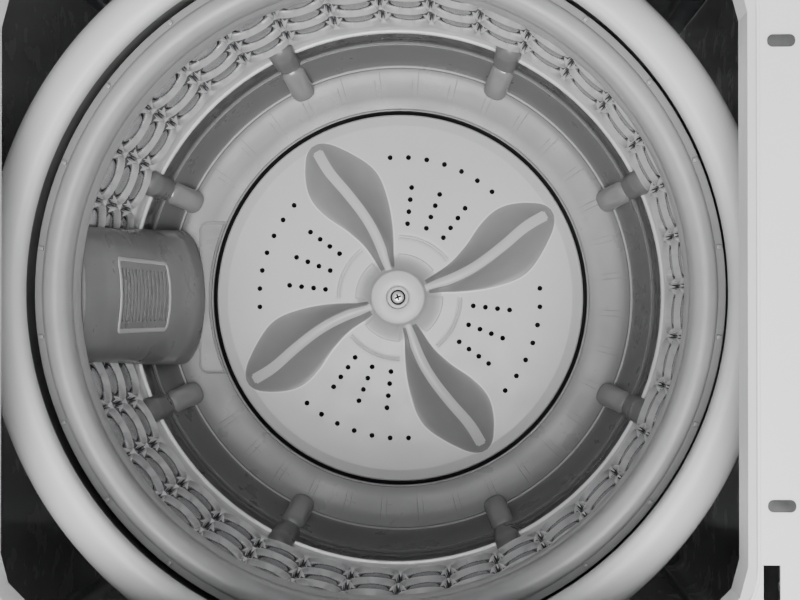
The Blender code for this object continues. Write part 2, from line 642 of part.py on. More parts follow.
def make_tub():
    """The tub, its cover and what hangs under it. The empty moves down as the springs yield."""
    axis = axis_empty("tub_axis", (0.0, DRUM_Y, 0.0))
    wall = 0.004
    profile = [
        (0.046, TUB_FLOOR), (TUB_R - 0.007, TUB_FLOOR), (TUB_R + wall, TUB_FLOOR + 0.010),
        (TUB_R + wall, TUB_TOP - 0.006), (0.290, TUB_TOP - 0.004), (0.290, TUB_TOP), (TUB_R, TUB_TOP),
        (TUB_R, TUB_FLOOR + 0.012), (TUB_R - 0.009, TUB_FLOOR + wall), (0.046, TUB_FLOOR + wall),
    ]
    tub = turned("outer_tub", "tub_plastic", profile, ring=True, parent=axis)
    profile = [(0.016, DRAIN_LOW), (0.016, TUB_FLOOR + 0.002)]
    join(tub, turned("spigot", "tub_plastic", profile, centre=DRAIN, count=16, parent=axis))
    cut(tub, bore("drain bore", 0.012, (*DRAIN, DRAIN_LOW - 0.01), (0, 0, 1), 0.05, parent=axis))
    turn = Matrix.Rotation(TRAP_ANGLE, 4, "Z")
    low, high = (TUB_R + 0.002, -0.014, 0.315), (TRAP_R + 0.010, 0.014, 0.360)
    join(tub, box("trap", "tub_plastic", low, high, place=turn, parent=axis))
    spigot = (TRAP_R * math.cos(TRAP_ANGLE), TRAP_R * math.sin(TRAP_ANGLE))
    profile = [(0.003, 0.358), (0.003, 0.3735)]
    join(tub, turned("trap spigot", "tub_plastic", profile, centre=spigot, count=12, parent=axis))
    profile = [
        (0.2908, TUB_TOP - 0.008), (0.2935, TUB_TOP - 0.008), (0.2935, TUB_TOP + 0.006),
        (0.288, TUB_TOP + 0.019), (0.267, TUB_TOP + 0.0295), (0.2610, TUB_TOP + 0.0290),
        (COVER_R, TUB_TOP + 0.025), (COVER_R, TUB_TOP + 0.021), (0.2615, TUB_TOP + 0.021),
        (0.2660, TUB_TOP + 0.0262), (0.2860, TUB_TOP + 0.0165), (0.2908, TUB_TOP + 0.005),
    ]
    turned("tub_cover", "cover_plastic", profile, ring=True, parent=axis)
    make_suspension(tub)
    make_drive(axis)
    make_basket(axis)


def make_drive(axis):
    """The clutch housing, and the motor on its bracket, with the belt between the two pulleys."""
    tube = SPIN_TUBE_R + 0.0008
    under = TUB_FLOOR - GAP
    profile = [
        (tube, 0.150), (0.056, 0.150), (0.060, 0.154), (0.060, 0.288), (0.110, 0.2935), (0.110, under),
        (0.0455, under), (0.0455, TUB_FLOOR + 0.008), (0.034, 0.325), (tube, 0.325),
    ]
    turned("clutch_housing", "cast_aluminium", profile, count=24, ring=True, parent=axis)
    motor_at = (0.0, MOTOR_Y)
    profile = [
        (0.0070, 0.155), (0.040, 0.155), (0.060, 0.165), (0.060, 0.250), (0.045, 0.2597), (0.0070, 0.2597),
    ]
    turned("motor", "motor_paint", profile, centre=motor_at, count=20, ring=True, parent=axis)
    front, rear = 0.118, 0.245
    bracket = box("motor_bracket", "zinc_steel", (-0.080, front, 0.260), (0.080, rear, 0.263), parent=axis)
    for left, right in ((-0.080, -0.070), (0.070, 0.080)):
        leg = box("leg", "zinc_steel", (left, front, 0.262), (right, rear, under), parent=axis)
        join(bracket, leg)
    pulley_axis = axis_empty("motor_pulley_axis", (*motor_at, 0.0), parent=axis)
    rim = MOTOR_PULLEY_R
    profile = [
        (rim - 0.004, BELT_Z - 0.010), (rim + 0.004, BELT_Z - 0.009), (rim + 0.004, BELT_Z - 0.007),
        (rim, BELT_Z - 0.0065), (rim, BELT_Z + 0.0065), (rim + 0.004, BELT_Z + 0.007),
        (rim + 0.004, BELT_Z + 0.009), (0.010, BELT_Z + 0.010), (0.006, BELT_Z + 0.016), (0.006, 0.235),
    ]
    turned("motor_pulley", "zinc_steel", profile, count=16, parent=pulley_axis)
    make_belt(axis)


def belt_loop(offset, z):
    """The belt's outline, each pulley's radius grown by offset, as two arcs joined by straight runs."""
    large = DRIVE_PULLEY_R + offset
    small = MOTOR_PULLEY_R + offset
    lean = math.asin((large - small) / MOTOR_Y)
    points = []
    for radius, centre, first, last in (
        (small, MOTOR_Y, lean, math.pi - lean), (large, 0.0, math.pi - lean, 2 * math.pi + lean),
    ):
        for step in range(13):
            angle = first + (last - first) * step / 12
            points.append((radius * math.cos(angle), centre + radius * math.sin(angle), z))
    return points


def make_belt(axis):
    """The belt round the drive pulley and the motor's pulley."""
    inner, outer = 0.0014, 0.0050
    levels = [(inner, -0.0045), (outer, -0.0045), (outer, 0.0045), (inner, 0.0045)]
    sections = [belt_loop(offset, BELT_Z + height) for offset, height in levels]
    solid("drive_belt", "rubber", sections, ring=True, parent=axis)


def make_basket(tub_axis):
    """The basket: base, steel wall, balance ring, filter column and the hub under its floor."""
    axis = axis_empty("basket_axis", (0, 0, 0), parent=tub_axis)
    profile = [
        (0.013, -0.018), (0.200, -0.018), (0.202, -0.006), (0.236, -0.001), (0.2465, 0.005),
        (0.2525, 0.020), (0.2586, 0.050), (0.2592, 0.060), (0.2576, 0.0625), (0.2556, 0.0605),
        (0.2548, 0.054), (0.2440, 0.012), (0.2400, 0.006), (0.2300, 0.003), (RECESS_R, 0.0005),
        (RECESS_R, -0.014), (0.013, -0.014),
    ]
    turned("basket_base", "grey_plastic", [(r, RIM_Z + z) for r, z in profile], ring=True, parent=axis)
    low, high = RIM_Z + 0.056, WALL_TOP
    profile = [(BASKET_R, low), (BASKET_R + 0.001, low), (BASKET_R + 0.001, high), (BASKET_R, high)]
    turned("basket_wall", "stainless", profile, ring=True, parent=axis)
    shoulder = WALL_TOP + GAP
    profile = [
        (RING_R + 0.002, 0.7340), (BASKET_R - 0.0005, 0.7340), (BASKET_R - 0.0005, shoulder),
        (0.2655, shoulder), (0.2655, RING_TOP - 0.004), (0.2620, RING_TOP - 0.001), (0.2520, RING_TOP),
        (0.2440, RING_TOP - 0.002), (RING_R + 0.001, RING_TOP - 0.006), (RING_R, RING_TOP - 0.012),
        (RING_R, 0.7370),
    ]
    turned("balance_ring", "ring_plastic", profile, ring=True, parent=axis)
    make_filter_column(axis)
    profile = [
        (0.0140, 0.2150), (SPIN_TUBE_R, 0.2150), (SPIN_TUBE_R, 0.3300), (0.040, 0.3380), (0.130, 0.3440),
        (0.130, 0.3517), (0.0140, 0.3517),
    ]
    turned("drive_hub", "cast_aluminium", profile, count=24, ring=True, parent=axis)
    make_impeller(tub_axis)


def make_filter_column(axis):
    """The lint filter's channel up the left of the basket: a bulging foot that thins as it rises."""
    stages = (  # height above the rim plane, radius of the front and of the back, half the width
        (0.010, 0.2046, 0.2385, 0.070), (0.030, 0.2046, 0.2385, 0.070), (0.072, 0.2092, 0.2400, 0.068),
        (0.078, 0.2102, 0.2585, 0.068), (0.200, 0.2275, 0.2585, 0.062), (0.360, 0.2370, 0.2585, 0.055),
    )
    sections = []
    for height, front, back, half in stages:
        points = []
        for step in range(9):
            y = half * (1 - step / 4)
            points.append((-math.sqrt(back**2 - y**2), y, RIM_Z + height))
        for step in range(1, 8):
            y = half * (step / 4 - 1)
            side = math.sqrt(back**2 - half**2)
            bulge = side - (side - front) * (1 - (y / half) ** 2) ** 0.5
            points.append((-bulge, y, RIM_Z + height))
        sections.append(points)
    solid("filter_column", "grey_plastic", sections, parent=axis)


def blade_height(radius, angle):
    """How far the impeller's top stands above its plate: four leaf-shaped blades round a hub."""
    root, tip = 0.036, 0.184
    reach = (radius - root) / (tip - root)
    if not 0.0 < reach < 1.0:
        return 0.0
    crest = math.radians(17.5 + 12.0 * reach)  # the crest swings round as it runs outwards
    turn = (angle - crest + math.pi / 4) % (math.pi / 2) - math.pi / 4
    half = 0.011 + 0.026 * math.sin(math.pi * min(reach / 0.93, 1.0)) ** 1.4
    across = abs(turn) * radius / half
    height = 0.026 * (1 - reach**3)
    return height * max(0.0, 1 - across) ** 0.8


def make_impeller(tub_axis):
    """The impeller with its screw, on the shaft that runs down through the hub to the drive pulley."""
    axis = axis_empty("impeller_axis", (0, 0, 0), parent=tub_axis)
    around = 40
    socket_r = SHAFT_R + 0.0006
    under = RIM_Z - 0.0110
    below = [
        (socket_r, under), (0.150, under + 0.001), (IMPELLER_R - 0.001, under + 0.004),
        (IMPELLER_R, RIM_Z - 0.002),
    ]
    sections = [circle(r, z, count=around) for r, z in below]
    for radius in (0.1925, 0.180, 0.160, 0.138, 0.115, 0.090, 0.066, 0.048, 0.040):
        dish = 0.004 * max(0.0, 1 - radius / 0.185)
        ring = circle(radius, RIM_Z + dish, count=around)
        sections.append([(x, y, z + blade_height(radius, math.atan2(y, x))) for x, y, z in ring])
    hub_top = RIM_Z + 0.038
    seat, socket_top = hub_top - 0.005, hub_top - 0.018
    above = [
        (0.034, RIM_Z + 0.014), (0.029, RIM_Z + 0.028), (0.027, hub_top - 0.003), (0.024, hub_top),
        (0.0118, hub_top), (0.0118, seat), (0.0036, seat), (0.0036, socket_top), (socket_r, socket_top),
    ]
    sections += [circle(r, z, count=around) for r, z in above]
    solid("impeller", "impeller_plastic", sections, ring=True, parent=axis)
    seat += GAP
    profile = [
        (0.0028, 0.356), (0.0028, seat), (0.0100, seat), (0.0100, seat + 0.0012), (0.0072, seat + 0.0012),
        (0.0068, seat + 0.0040),
    ]
    turned("impeller_screw", "stainless", profile, count=16, parent=axis)
    shaft_top = socket_top - GAP
    profile = [(SHAFT_R, 0.104), (SHAFT_R, shaft_top), (0.0032, shaft_top), (0.0032, 0.352)]
    turned("drive_shaft", "zinc_steel", profile, count=16, parent=axis)
    rim = DRIVE_PULLEY_R
    bore_r = SHAFT_R + 0.0004
    profile = [
        (bore_r, 0.110), (0.020, 0.110), (0.020, BELT_Z - 0.003), (rim - 0.008, BELT_Z - 0.003),
        (rim - 0.008, BELT_Z - 0.009), (rim + 0.004, BELT_Z - 0.009), (rim + 0.004, BELT_Z - 0.007),
        (rim, BELT_Z - 0.0065), (rim, BELT_Z + 0.0065), (rim + 0.004, BELT_Z + 0.007),
        (rim + 0.004, BELT_Z + 0.009), (rim - 0.008, BELT_Z + 0.009), (rim - 0.008, BELT_Z + 0.003),
        (0.020, BELT_Z + 0.003), (0.020, 0.142), (bore_r, 0.142),
    ]
    turned("drive_pulley", "cast_aluminium", profile, count=24, ring=True, parent=axis)


def make_drain():
    """The bellows under the tub, the pump on the base frame with its rotor, and the hose to the port."""
    x, y = DRAIN[0], DRUM_Y + DRAIN[1]
    folds = 5
    low, high = PUMP_INLET_Z + GAP, DRAIN_LOW - GAP
    profile = [(0.0130, low)]
    for step in range(2 * folds + 1):
        profile.append((0.0195 if step % 2 else 0.0160, low + (high - low) * step / (2 * folds)))
    profile.append((0.0130, high))
    turned("sump_hose", "rubber", profile, centre=(x, y), count=16, ring=True)
    plate_low = (x - 0.038, y - 0.036, CABINET_LOW + SHELL + 2 * GAP)
    plate_high = (SIDE_X - 0.012, y + 0.036, CABINET_LOW + SHELL + 0.004)
    pump = box("drain_pump", "dark_plastic", plate_low, plate_high)
    motor_low, motor_high = (x - 0.028, y - 0.028, 0.034), (x + 0.028, y + 0.028, 0.088)
    join(pump, box("pump motor", "dark_plastic", motor_low, motor_high))
    profile = [(0.036, 0.086), (0.036, 0.122), (0.016, 0.130), (0.016, PUMP_INLET_Z)]
    join(pump, turned("volute", "dark_plastic", profile, centre=(x, y), count=24))
    outlet_z = 0.105
    outlet = along((0, 1, 0), (x, y + 0.020, outlet_z))
    profile = [(0.0110, 0), (0.0110, 0.040)]
    join(pump, turned("outlet", "dark_plastic", profile, count=16, place=outlet))
    profile = [(0.030, 0.092), (0.030, 0.117), (0.012, 0.124), (0.012, PUMP_INLET_Z + 0.01)]
    cut(pump, turned("chamber", "dark_plastic", profile, centre=(x, y), count=24))
    cut(pump, bore("outlet bore", 0.008, (x, y + 0.015, outlet_z), (0, 1, 0), 0.06))
    axis = axis_empty("rotor_axis", (x, y, 0.0))
    profile = [(0.020, 0.095), (0.020, 0.098), (0.007, 0.099), (0.005, 0.113)]
    rotor = turned("pump_rotor", "button_plastic", profile, count=16, parent=axis)
    for turn in (0, math.pi / 2):
        place = Matrix.Rotation(turn, 4, "Z")
        low, high = (-0.019, -0.0012, 0.097), (0.019, 0.0012, 0.110)
        join(rotor, box("vane", "button_plastic", low, high, place=place, parent=axis))
    port_x, port_z = HOSE_PORT
    end_y = BACK_Y - 0.0135
    route = [
        (x, y + 0.0612, outlet_z), (x, y + 0.076, outlet_z), (x + 0.004, y + 0.100, outlet_z),
        (0.190, 0.010, 0.103), (0.235, 0.090, 0.102), (0.262, 0.170, 0.110), (0.252, 0.250, 0.138),
        (port_x, end_y - 0.03, port_z), (port_x, end_y, port_z),
    ]
    hose("drain_hose", "rubber", 0.0105, route)


clear_scene()
make_base_frame()
make_feet()
make_cabinet_wrap()
make_rear_panel()
make_rear_ports()
make_top_panel()
make_lid()
make_lid_lock()
make_console()
make_water_inlet()
make_level_sensor()
make_detergent_drawer()
make_tub()
make_drain()
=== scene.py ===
"""Looks of the top load washing machine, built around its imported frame.

The fine pieces replace the plain CAD solids: embossed steel wall, bladed impeller, moulded basket
base, balance ring, tub cover, cabinet, lid, console and drive. Metres, +Z up, front at -Y.
"""

import math

import bmesh
import bpy
import numpy as np
from mathutils import Matrix, Vector
from mathutils.geometry import delaunay_2d_cdt


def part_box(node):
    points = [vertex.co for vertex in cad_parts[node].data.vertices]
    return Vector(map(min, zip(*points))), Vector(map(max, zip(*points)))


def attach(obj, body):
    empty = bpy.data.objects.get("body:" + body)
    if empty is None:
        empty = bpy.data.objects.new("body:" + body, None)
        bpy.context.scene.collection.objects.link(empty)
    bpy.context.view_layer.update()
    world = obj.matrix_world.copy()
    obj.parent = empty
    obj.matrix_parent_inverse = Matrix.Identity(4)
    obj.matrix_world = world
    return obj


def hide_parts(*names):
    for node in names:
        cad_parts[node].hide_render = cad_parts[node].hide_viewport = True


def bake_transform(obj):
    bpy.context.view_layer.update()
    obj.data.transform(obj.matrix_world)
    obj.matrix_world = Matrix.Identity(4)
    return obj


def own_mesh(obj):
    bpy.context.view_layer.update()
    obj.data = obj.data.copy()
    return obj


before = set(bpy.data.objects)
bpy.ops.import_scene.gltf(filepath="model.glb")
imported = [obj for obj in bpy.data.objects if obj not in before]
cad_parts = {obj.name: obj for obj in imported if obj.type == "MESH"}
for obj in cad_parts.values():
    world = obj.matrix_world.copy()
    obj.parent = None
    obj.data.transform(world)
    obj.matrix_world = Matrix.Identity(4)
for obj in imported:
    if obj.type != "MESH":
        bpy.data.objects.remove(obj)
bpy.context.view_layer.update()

# Where the drum is. The rim plane is the impeller's rim, which the drum's heights count from.
WALL_LOW, WALL_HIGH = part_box("basket_wall")
CENTRE = Vector(((WALL_LOW.x + WALL_HIGH.x) / 2, (WALL_LOW.y + WALL_HIGH.y) / 2, 0.0))
RIM_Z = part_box("basket_base")[0].z + 0.018
BASKET_R = (WALL_HIGH.x - WALL_LOW.x) / 2 - 0.001
TAU = 2 * math.pi


# ---------------------------------------------------------------- mesh helpers


def new_object(name, points, faces):
    """A mesh object in the scene, with its faces turned outwards."""
    mesh = bpy.data.meshes.new(name)
    mesh.from_pydata([tuple(point) for point in points], [], faces)
    work = bmesh.new()
    work.from_mesh(mesh)
    bmesh.ops.recalc_face_normals(work, faces=work.faces)
    work.to_mesh(mesh)
    work.free()
    obj = bpy.data.objects.new(name, mesh)
    bpy.context.scene.collection.objects.link(obj)
    return obj


def piece(name, points, faces, body, slot, replaces=(), sharp=32):
    """A new mesh object that rides on a body and may stand for CAD nodes."""
    return finished(new_object(name, points, faces), body, slot, replaces, sharp)


def finished(obj, body, slot, replaces=(), sharp=32):
    """Gives a mesh object its shading, material and slot, and its body if it has one."""
    obj.data.shade_smooth()
    obj.data.set_sharp_from_angle(angle=math.radians(sharp))
    obj.data.materials.clear()
    obj.data.materials.append(MATERIALS[slot])
    if body:
        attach(obj, body)
    if replaces:
        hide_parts(*replaces)
    return obj


def bridge(sections, closed):
    """Points and quads through equal loops. A closed set joins the last loop to the first."""
    count = len(sections[0])
    points = [point for section in sections for point in section]
    faces = []
    for index in range(len(sections) if closed else len(sections) - 1):
        low = index * count
        high = (index + 1) % len(sections) * count
        for side in range(count):
            beside = (side + 1) % count
            faces.append((low + side, low + beside, high + beside, high + side))
    return points, faces


def capped(sections):
    """Points and faces through equal loops, with a face on both ends."""
    points, faces = bridge(sections, closed=False)
    count = len(sections[0])
    faces.append(tuple(reversed(range(count))))
    faces.append(tuple(range(len(points) - count, len(points))))
    return points, faces


def arc(centre, radius, first, last, steps):
    """Points of a profile's round corner, with its angles in degrees."""
    turns = [math.radians(first + (last - first) * step / steps) for step in range(steps + 1)]
    return [at_angle(radius, turn, centre) for turn in turns]


def rounded_profile(corners, radius, steps=4):
    """A closed profile with every corner rounded, as far as its edges allow."""
    rounded = []
    count = len(corners)
    for index, corner in enumerate(corners):
        here = Vector(corner)
        before = Vector(corners[index - 1]) - here
        after = Vector(corners[(index + 1) % count]) - here
        reach = min(radius, before.length * 0.45, after.length * 0.45)
        start = here + before.normalized() * reach
        end = here + after.normalized() * reach
        for step in range(steps + 1):
            t = step / steps
            point = start * (1 - t) ** 2 + here * 2 * t * (1 - t) + end * t**2
            rounded.append(tuple(point))
    return rounded


def at_angle(radius, angle, centre=CENTRE):
    """The (x, y) at a radius and an angle round a centre."""
    return centre[0] + radius * math.cos(angle), centre[1] + radius * math.sin(angle)


def ring_points(radius, z, centre=CENTRE, count=128):
    return [(*at_angle(radius, TAU * step / count, centre), z) for step in range(count)]


def turned(name, profile, body, slot, replaces=(), centre=CENTRE, count=128, closed=True, sharp=32):
    """A turned piece from (radius, height) points. An open profile is capped at both ends."""
    sections = [ring_points(radius, z, centre, count) for radius, z in profile]
    return piece(name, *bridge(sections, True) if closed else capped(sections), body, slot, replaces, sharp)


def rectangle(low, high, radius, z, corner=8):
    """A level rectangle with round corners."""
    centres = [
        (high[0] - radius, high[1] - radius), (low[0] + radius, high[1] - radius),
        (low[0] + radius, low[1] + radius), (high[0] - radius, low[1] + radius),
    ]
    points = []
    for quarter, (x, y) in enumerate(centres):
        for step in range(corner + 1):
            angle = math.pi / 2 * (quarter + step / corner)
            points.append((*at_angle(radius, angle, (x, y)), z))
    return points


def pad(low, high, radius, bottom, top, edge=0.0008, corner=6):
    """Points and faces of a flat piece with round corners and softened rims."""
    levels = [
        (edge, bottom), (edge * 0.3, bottom + edge * 0.3), (0.0, bottom + edge), (0.0, top - edge),
        (edge * 0.3, top - edge * 0.3), (edge, top),
    ]
    sections = []
    for inset, z in levels:
        shape_low = (low[0] + inset, low[1] + inset)
        shape_high = (high[0] - inset, high[1] - inset)
        sections.append(rectangle(shape_low, shape_high, max(radius - inset, 0.0002), z, corner))
    return capped(sections)


def moved(points, place):
    return [place @ Vector(point) for point in points]


def placed(shape, place):
    """The (points, faces) of a shape, put in place."""
    points, faces = shape
    return moved(points, place), faces


def round_axis(shape, count, offset=0.5, centre=(CENTRE.x, CENTRE.y, 0.0)):
    """Evenly turned copies of a shape round an upright axis. The first is turned by the offset."""
    copies = []
    for step in range(count):
        turn = Matrix.Rotation(TAU * (step + offset) / count, 4, "Z")
        copies.append(placed(shape, Matrix.Translation(centre) @ turn))
    return copies


def merged(parts):
    """Several (points, faces) as one."""
    points, faces = [], []
    for part_points, part_faces in parts:
        start = len(points)
        points.extend(part_points)
        faces.extend(tuple(index + start for index in face) for face in part_faces)
    return points, faces


def cut(obj, tools, sharp=32):
    """Takes the tools, each (points, faces), out of the object at once."""
    other = new_object("tool", *merged(tools))
    other.data.materials.append(obj.data.materials[0])
    modifier = obj.modifiers.new("cut", "BOOLEAN")
    modifier.operation = "DIFFERENCE"
    modifier.object = other
    modifier.solver = "MANIFOLD"
    graph = bpy.context.evaluated_depsgraph_get()
    mesh = bpy.data.meshes.new_from_object(obj.evaluated_get(graph))
    obj.modifiers.clear()
    obj.data = mesh
    bpy.data.objects.remove(other, do_unlink=True)
    obj.data.set_sharp_from_angle(angle=math.radians(sharp))


def centre_of(node):
    """Where a node's box has its middle, seen from above."""
    low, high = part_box(node)
    return (low.x + high.x) / 2, (low.y + high.y) / 2


def off_axis(face):
    """How far a face's middle is from the drum's axis."""
    return math.hypot(face.center.x - CENTRE.x, face.center.y - CENTRE.y)


def smoothstep(low, high, value):
    t = np.clip((value - low) / (high - low), 0.0, 1.0)
    return t * t * (3 - 2 * t)


def soften(node, width, segments=2):
    """Rounds a kept CAD node's edges with a bevel."""
    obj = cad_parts[node]
    bevel = obj.modifiers.new("edges", "BEVEL")
    bevel.width = width
    bevel.segments = segments
    bevel.limit_method = "ANGLE"
    bevel.angle_limit = math.radians(40)
    bevel.harden_normals = False


# ---------------------------------------------------------------- materials


def new_material(name, **sockets):
    """A Principled material, with its fixed values on the shader's own sockets."""
    made = bpy.data.materials.new(name)
    made.use_nodes = True
    shader = made.node_tree.nodes["Principled BSDF"]
    for socket, value in sockets.items():
        shader.inputs[socket.replace("_", " ")].default_value = value
    return made, made.node_tree.nodes, made.node_tree.links, shader


def noise(nodes, links, source, scale, detail=4.0, stretch=(1.0, 1.0, 1.0)):
    mapping = nodes.new("ShaderNodeMapping")
    mapping.inputs["Scale"].default_value = stretch
    links.new(source.outputs["Object"], mapping.inputs["Vector"])
    texture = nodes.new("ShaderNodeTexNoise")
    texture.inputs["Scale"].default_value = scale
    texture.inputs["Detail"].default_value = detail
    links.new(mapping.outputs["Vector"], texture.inputs["Vector"])
    return texture.outputs["Fac"]


def spread(nodes, links, factor, low, high):
    """Maps the middle of a noise onto low to high."""
    span = nodes.new("ShaderNodeMapRange")
    span.inputs["From Min"].default_value = 0.3
    span.inputs["From Max"].default_value = 0.7
    span.inputs["To Min"].default_value = low
    span.inputs["To Max"].default_value = high
    links.new(factor, span.inputs["Value"])
    return span.outputs["Result"]


def surface(
    name, colour, roughness, metallic=0.0, shade=0.06, patch=6.0, grain=900.0, relief=0.00006,
    stretch=(1.0, 1.0, 1.0), dust=0.0, **sockets,
):
    """Colour that drifts in soft patches, roughness that varies, and a fine relief in the surface.

    Dust greys the surface where it faces up, as dried detergent and lint do.
    """
    made, nodes, links, shader = new_material(name, Metallic=metallic, **sockets)
    source = nodes.new("ShaderNodeTexCoord")
    patches = noise(nodes, links, source, patch)
    ramp = nodes.new("ShaderNodeValToRGB")
    for element, at, factor in zip(ramp.color_ramp.elements, (0.32, 0.68), (1 - shade, 1 + shade)):
        element.position = at
        element.color = (*(min(channel * factor, 1.0) for channel in colour), 1.0)
    links.new(patches, ramp.inputs["Fac"])
    tone = ramp.outputs["Color"]
    if dust:
        geometry = nodes.new("ShaderNodeNewGeometry")
        split = nodes.new("ShaderNodeSeparateXYZ")
        links.new(geometry.outputs["Normal"], split.inputs["Vector"])
        facing = nodes.new("ShaderNodeMath")
        facing.operation = "MULTIPLY"
        facing.use_clamp = True
        links.new(split.outputs["Z"], facing.inputs[0])
        links.new(spread(nodes, links, noise(nodes, links, source, 45.0, 6.0), 0.0, dust), facing.inputs[1])
        mix = nodes.new("ShaderNodeMix")
        mix.data_type = "RGBA"
        links.new(facing.outputs["Value"], mix.inputs["Factor"])
        links.new(tone, mix.inputs["A"])
        mix.inputs["B"].default_value = (0.75, 0.75, 0.74, 1.0)
        tone = mix.outputs["Result"]
    links.new(tone, shader.inputs["Base Color"])
    uneven = noise(nodes, links, source, patch * 5, 6.0)
    links.new(spread(nodes, links, uneven, roughness * 0.85, roughness * 1.15), shader.inputs["Roughness"])
    bump = nodes.new("ShaderNodeBump")
    bump.inputs["Strength"].default_value = 1.0
    bump.inputs["Distance"].default_value = relief
    links.new(noise(nodes, links, source, grain, 3.0, stretch), bump.inputs["Height"])
    links.new(bump.outputs["Normal"], shader.inputs["Normal"])
    return made


def grey(value):
    return (value, value, value)


# Colour, roughness, metallic share and detail of each finish. An object's main one names its slot.
FINISHES = {
    "white_enamel": (
        (0.80, 0.80, 0.79), 0.26, 0.0, dict(grain=260.0, relief=0.00003, shade=0.02, Coat_Weight=0.35),
    ),
    "deck_plastic": ((0.74, 0.74, 0.73), 0.34, 0.0, dict(shade=0.025)),
    "cover_plastic": (grey(0.64), 0.38, 0.0, dict(shade=0.04, dust=0.12)),
    "grey_plastic": (grey(0.20), 0.30, 0.0, dict(shade=0.02, relief=0.00003)),
    "impeller_plastic": (grey(0.60), 0.33, 0.0, dict(shade=0.03, patch=9.0, dust=0.05)),
    # The blades' flanks: a darker copy of the impeller's plastic, painted shade.
    "painted_flank_shade": (grey(0.25), 0.36, 0.0, dict(shade=0.05, dust=0.05)),
    # The rim's sloping band: a darker copy of the impeller's plastic, painted shade.
    "painted_rim_shade": (grey(0.56), 0.36, 0.0, dict(shade=0.03, patch=9.0, dust=0.05)),
    "ring_plastic": (grey(0.33), 0.33, 0.0, dict(shade=0.05, dust=0.08)),
    "tub_plastic": ((0.30, 0.31, 0.30), 0.45, 0.0, dict(shade=0.05, dust=0.05)),
    "stainless": (
        (0.34, 0.34, 0.35), 0.22, 0.70, dict(grain=500.0, relief=0.00002, stretch=(1.0, 1.0, 14.0)),
    ),
    "zinc_steel": ((0.52, 0.53, 0.54), 0.38, 1.0, dict(shade=0.10, patch=40.0, relief=0.00003)),
    "cast_aluminium": (
        (0.58, 0.59, 0.60), 0.48, 1.0, dict(shade=0.08, patch=30.0, grain=500.0, relief=0.00025),
    ),
    "dark_plastic": ((0.045, 0.046, 0.050), 0.36, 0.0, dict(shade=0.15, relief=0.0001)),
    "button_plastic": ((0.50, 0.51, 0.52), 0.28, 0.0, dict(shade=0.03)),
    "rubber": ((0.030, 0.030, 0.031), 0.70, 0.0, dict(shade=0.18, patch=25.0, relief=0.00012, dust=0.10)),
    "board_green": ((0.03, 0.15, 0.07), 0.40, 0.0, dict(shade=0.12, patch=60.0)),
    "motor_paint": ((0.07, 0.075, 0.08), 0.42, 0.0, dict(shade=0.12, patch=25.0, relief=0.0001, dust=0.12)),
    "washer": (grey(0.36), 0.42, 0.3, dict(shade=0.05, patch=60.0)),
    "screw_head": (grey(0.80), 0.34, 0.5, dict(shade=0.03, patch=60.0)),
    # A lighter copy of the base's grey plastic along the bead, a painted highlight.
    "painted_bead_highlight": (grey(0.50), 0.30, 0.0, dict(shade=0.03)),
    # Steel copies for the wall: painted shadow in the grooves, painted highlight on ledges and stars, painted
    # shade on the band.
    "steel_shadow": (grey(0.03), 0.40, 0.6, dict(shade=0.10)),
    "painted_steel_highlight": (grey(0.92), 0.20, 0.45, dict(shade=0.05, patch=30.0, relief=0.00002)),
    "painted_steel_band_shade": (grey(0.16), 0.30, 0.7, dict(shade=0.08, relief=0.00002)),
    # A lighter, glossier copy of the base's grey plastic for the lower fingers: painted light.
    "finger_plastic": (grey(0.30), 0.16, 0.0, dict(shade=0.04, relief=0.00002, Coat_Weight=0.6)),
    # Near black, for painted shade in the holes, the recess under the impeller and the screw's gap and cross
    # recess.
    "shade": (grey(0.008), 0.85, 0.0, dict(shade=0.10)),
    # A lighter copy of the impeller's plastic along the blades' outlines, a painted highlight.
    "painted_edge_highlight": (grey(0.74), 0.30, 0.0, dict(shade=0.02)),
    "fascia": (grey(0.075), 0.16, 0.0, dict(shade=0.04, relief=0.00001)),
    "lamp": (
        (0.75, 0.85, 0.90), 0.30, 0.0,
        dict(shade=0.02, Emission_Color=(0.70, 0.85, 1.0, 1.0), Emission_Strength=0.6),
    ),
    "copper": ((0.62, 0.27, 0.13), 0.32, 1.0, dict(shade=0.10, patch=60.0, grain=1500.0)),
}
MATERIALS = {
    name: surface(name, colour, roughness, metallic, **detail)
    for name, (colour, roughness, metallic, detail) in FINISHES.items()
}


def make_glass():
    """Tinted, faintly smudged glass."""
    made, nodes, links, shader = new_material("tinted_glass", Transmission_Weight=0.85, IOR=1.5)
    source = nodes.new("ShaderNodeTexCoord")
    ramp = nodes.new("ShaderNodeValToRGB")
    ramp.color_ramp.elements[0].color = (0.20, 0.21, 0.22, 1.0)
    ramp.color_ramp.elements[1].color = (0.24, 0.25, 0.26, 1.0)
    links.new(noise(nodes, links, source, 3.0), ramp.inputs["Fac"])
    links.new(ramp.outputs["Color"], shader.inputs["Base Color"])
    smudges = noise(nodes, links, source, 14.0, 6.0)
    links.new(spread(nodes, links, smudges, 0.03, 0.09), shader.inputs["Roughness"])
    return made


MATERIALS["tinted_glass"] = make_glass()


# ---------------------------------------------------------------- impeller

IMPELLER_R = 0.1935
HUB_TOP = RIM_Z + 0.038
BLADE_TIP = 0.1845
TIP_START = 0.170  # where the outline starts to round off
RIDGE_END = 0.1785
BAND_START = 0.1820  # where the plate's dish ends and the rim's sloping band starts
# Edges and crest of one blade: angle in degrees against radius in metres.
BLADE_NEAR_EDGE = (
    (0.040, 7.8), (0.060, 5.7), (0.086, 5.6), (0.105, 6.8), (0.136, 10.8), (0.162, 19.0), (0.172, 22.2),
    (0.1845, 24.5),
)
BLADE_FAR_EDGE = (
    (0.040, 33.8), (0.060, 33.8), (0.086, 37.5), (0.113, 41.8), (0.139, 42.0), (0.165, 37.2), (0.172, 35.4),
    (0.1845, 34.0),
)
BLADE_CREST = ((0.036, 17.5), (0.068, 19.5), (0.121, 25.9), (0.1475, 28.6), (0.1845, 29.2))
HOLE_R = 0.0027


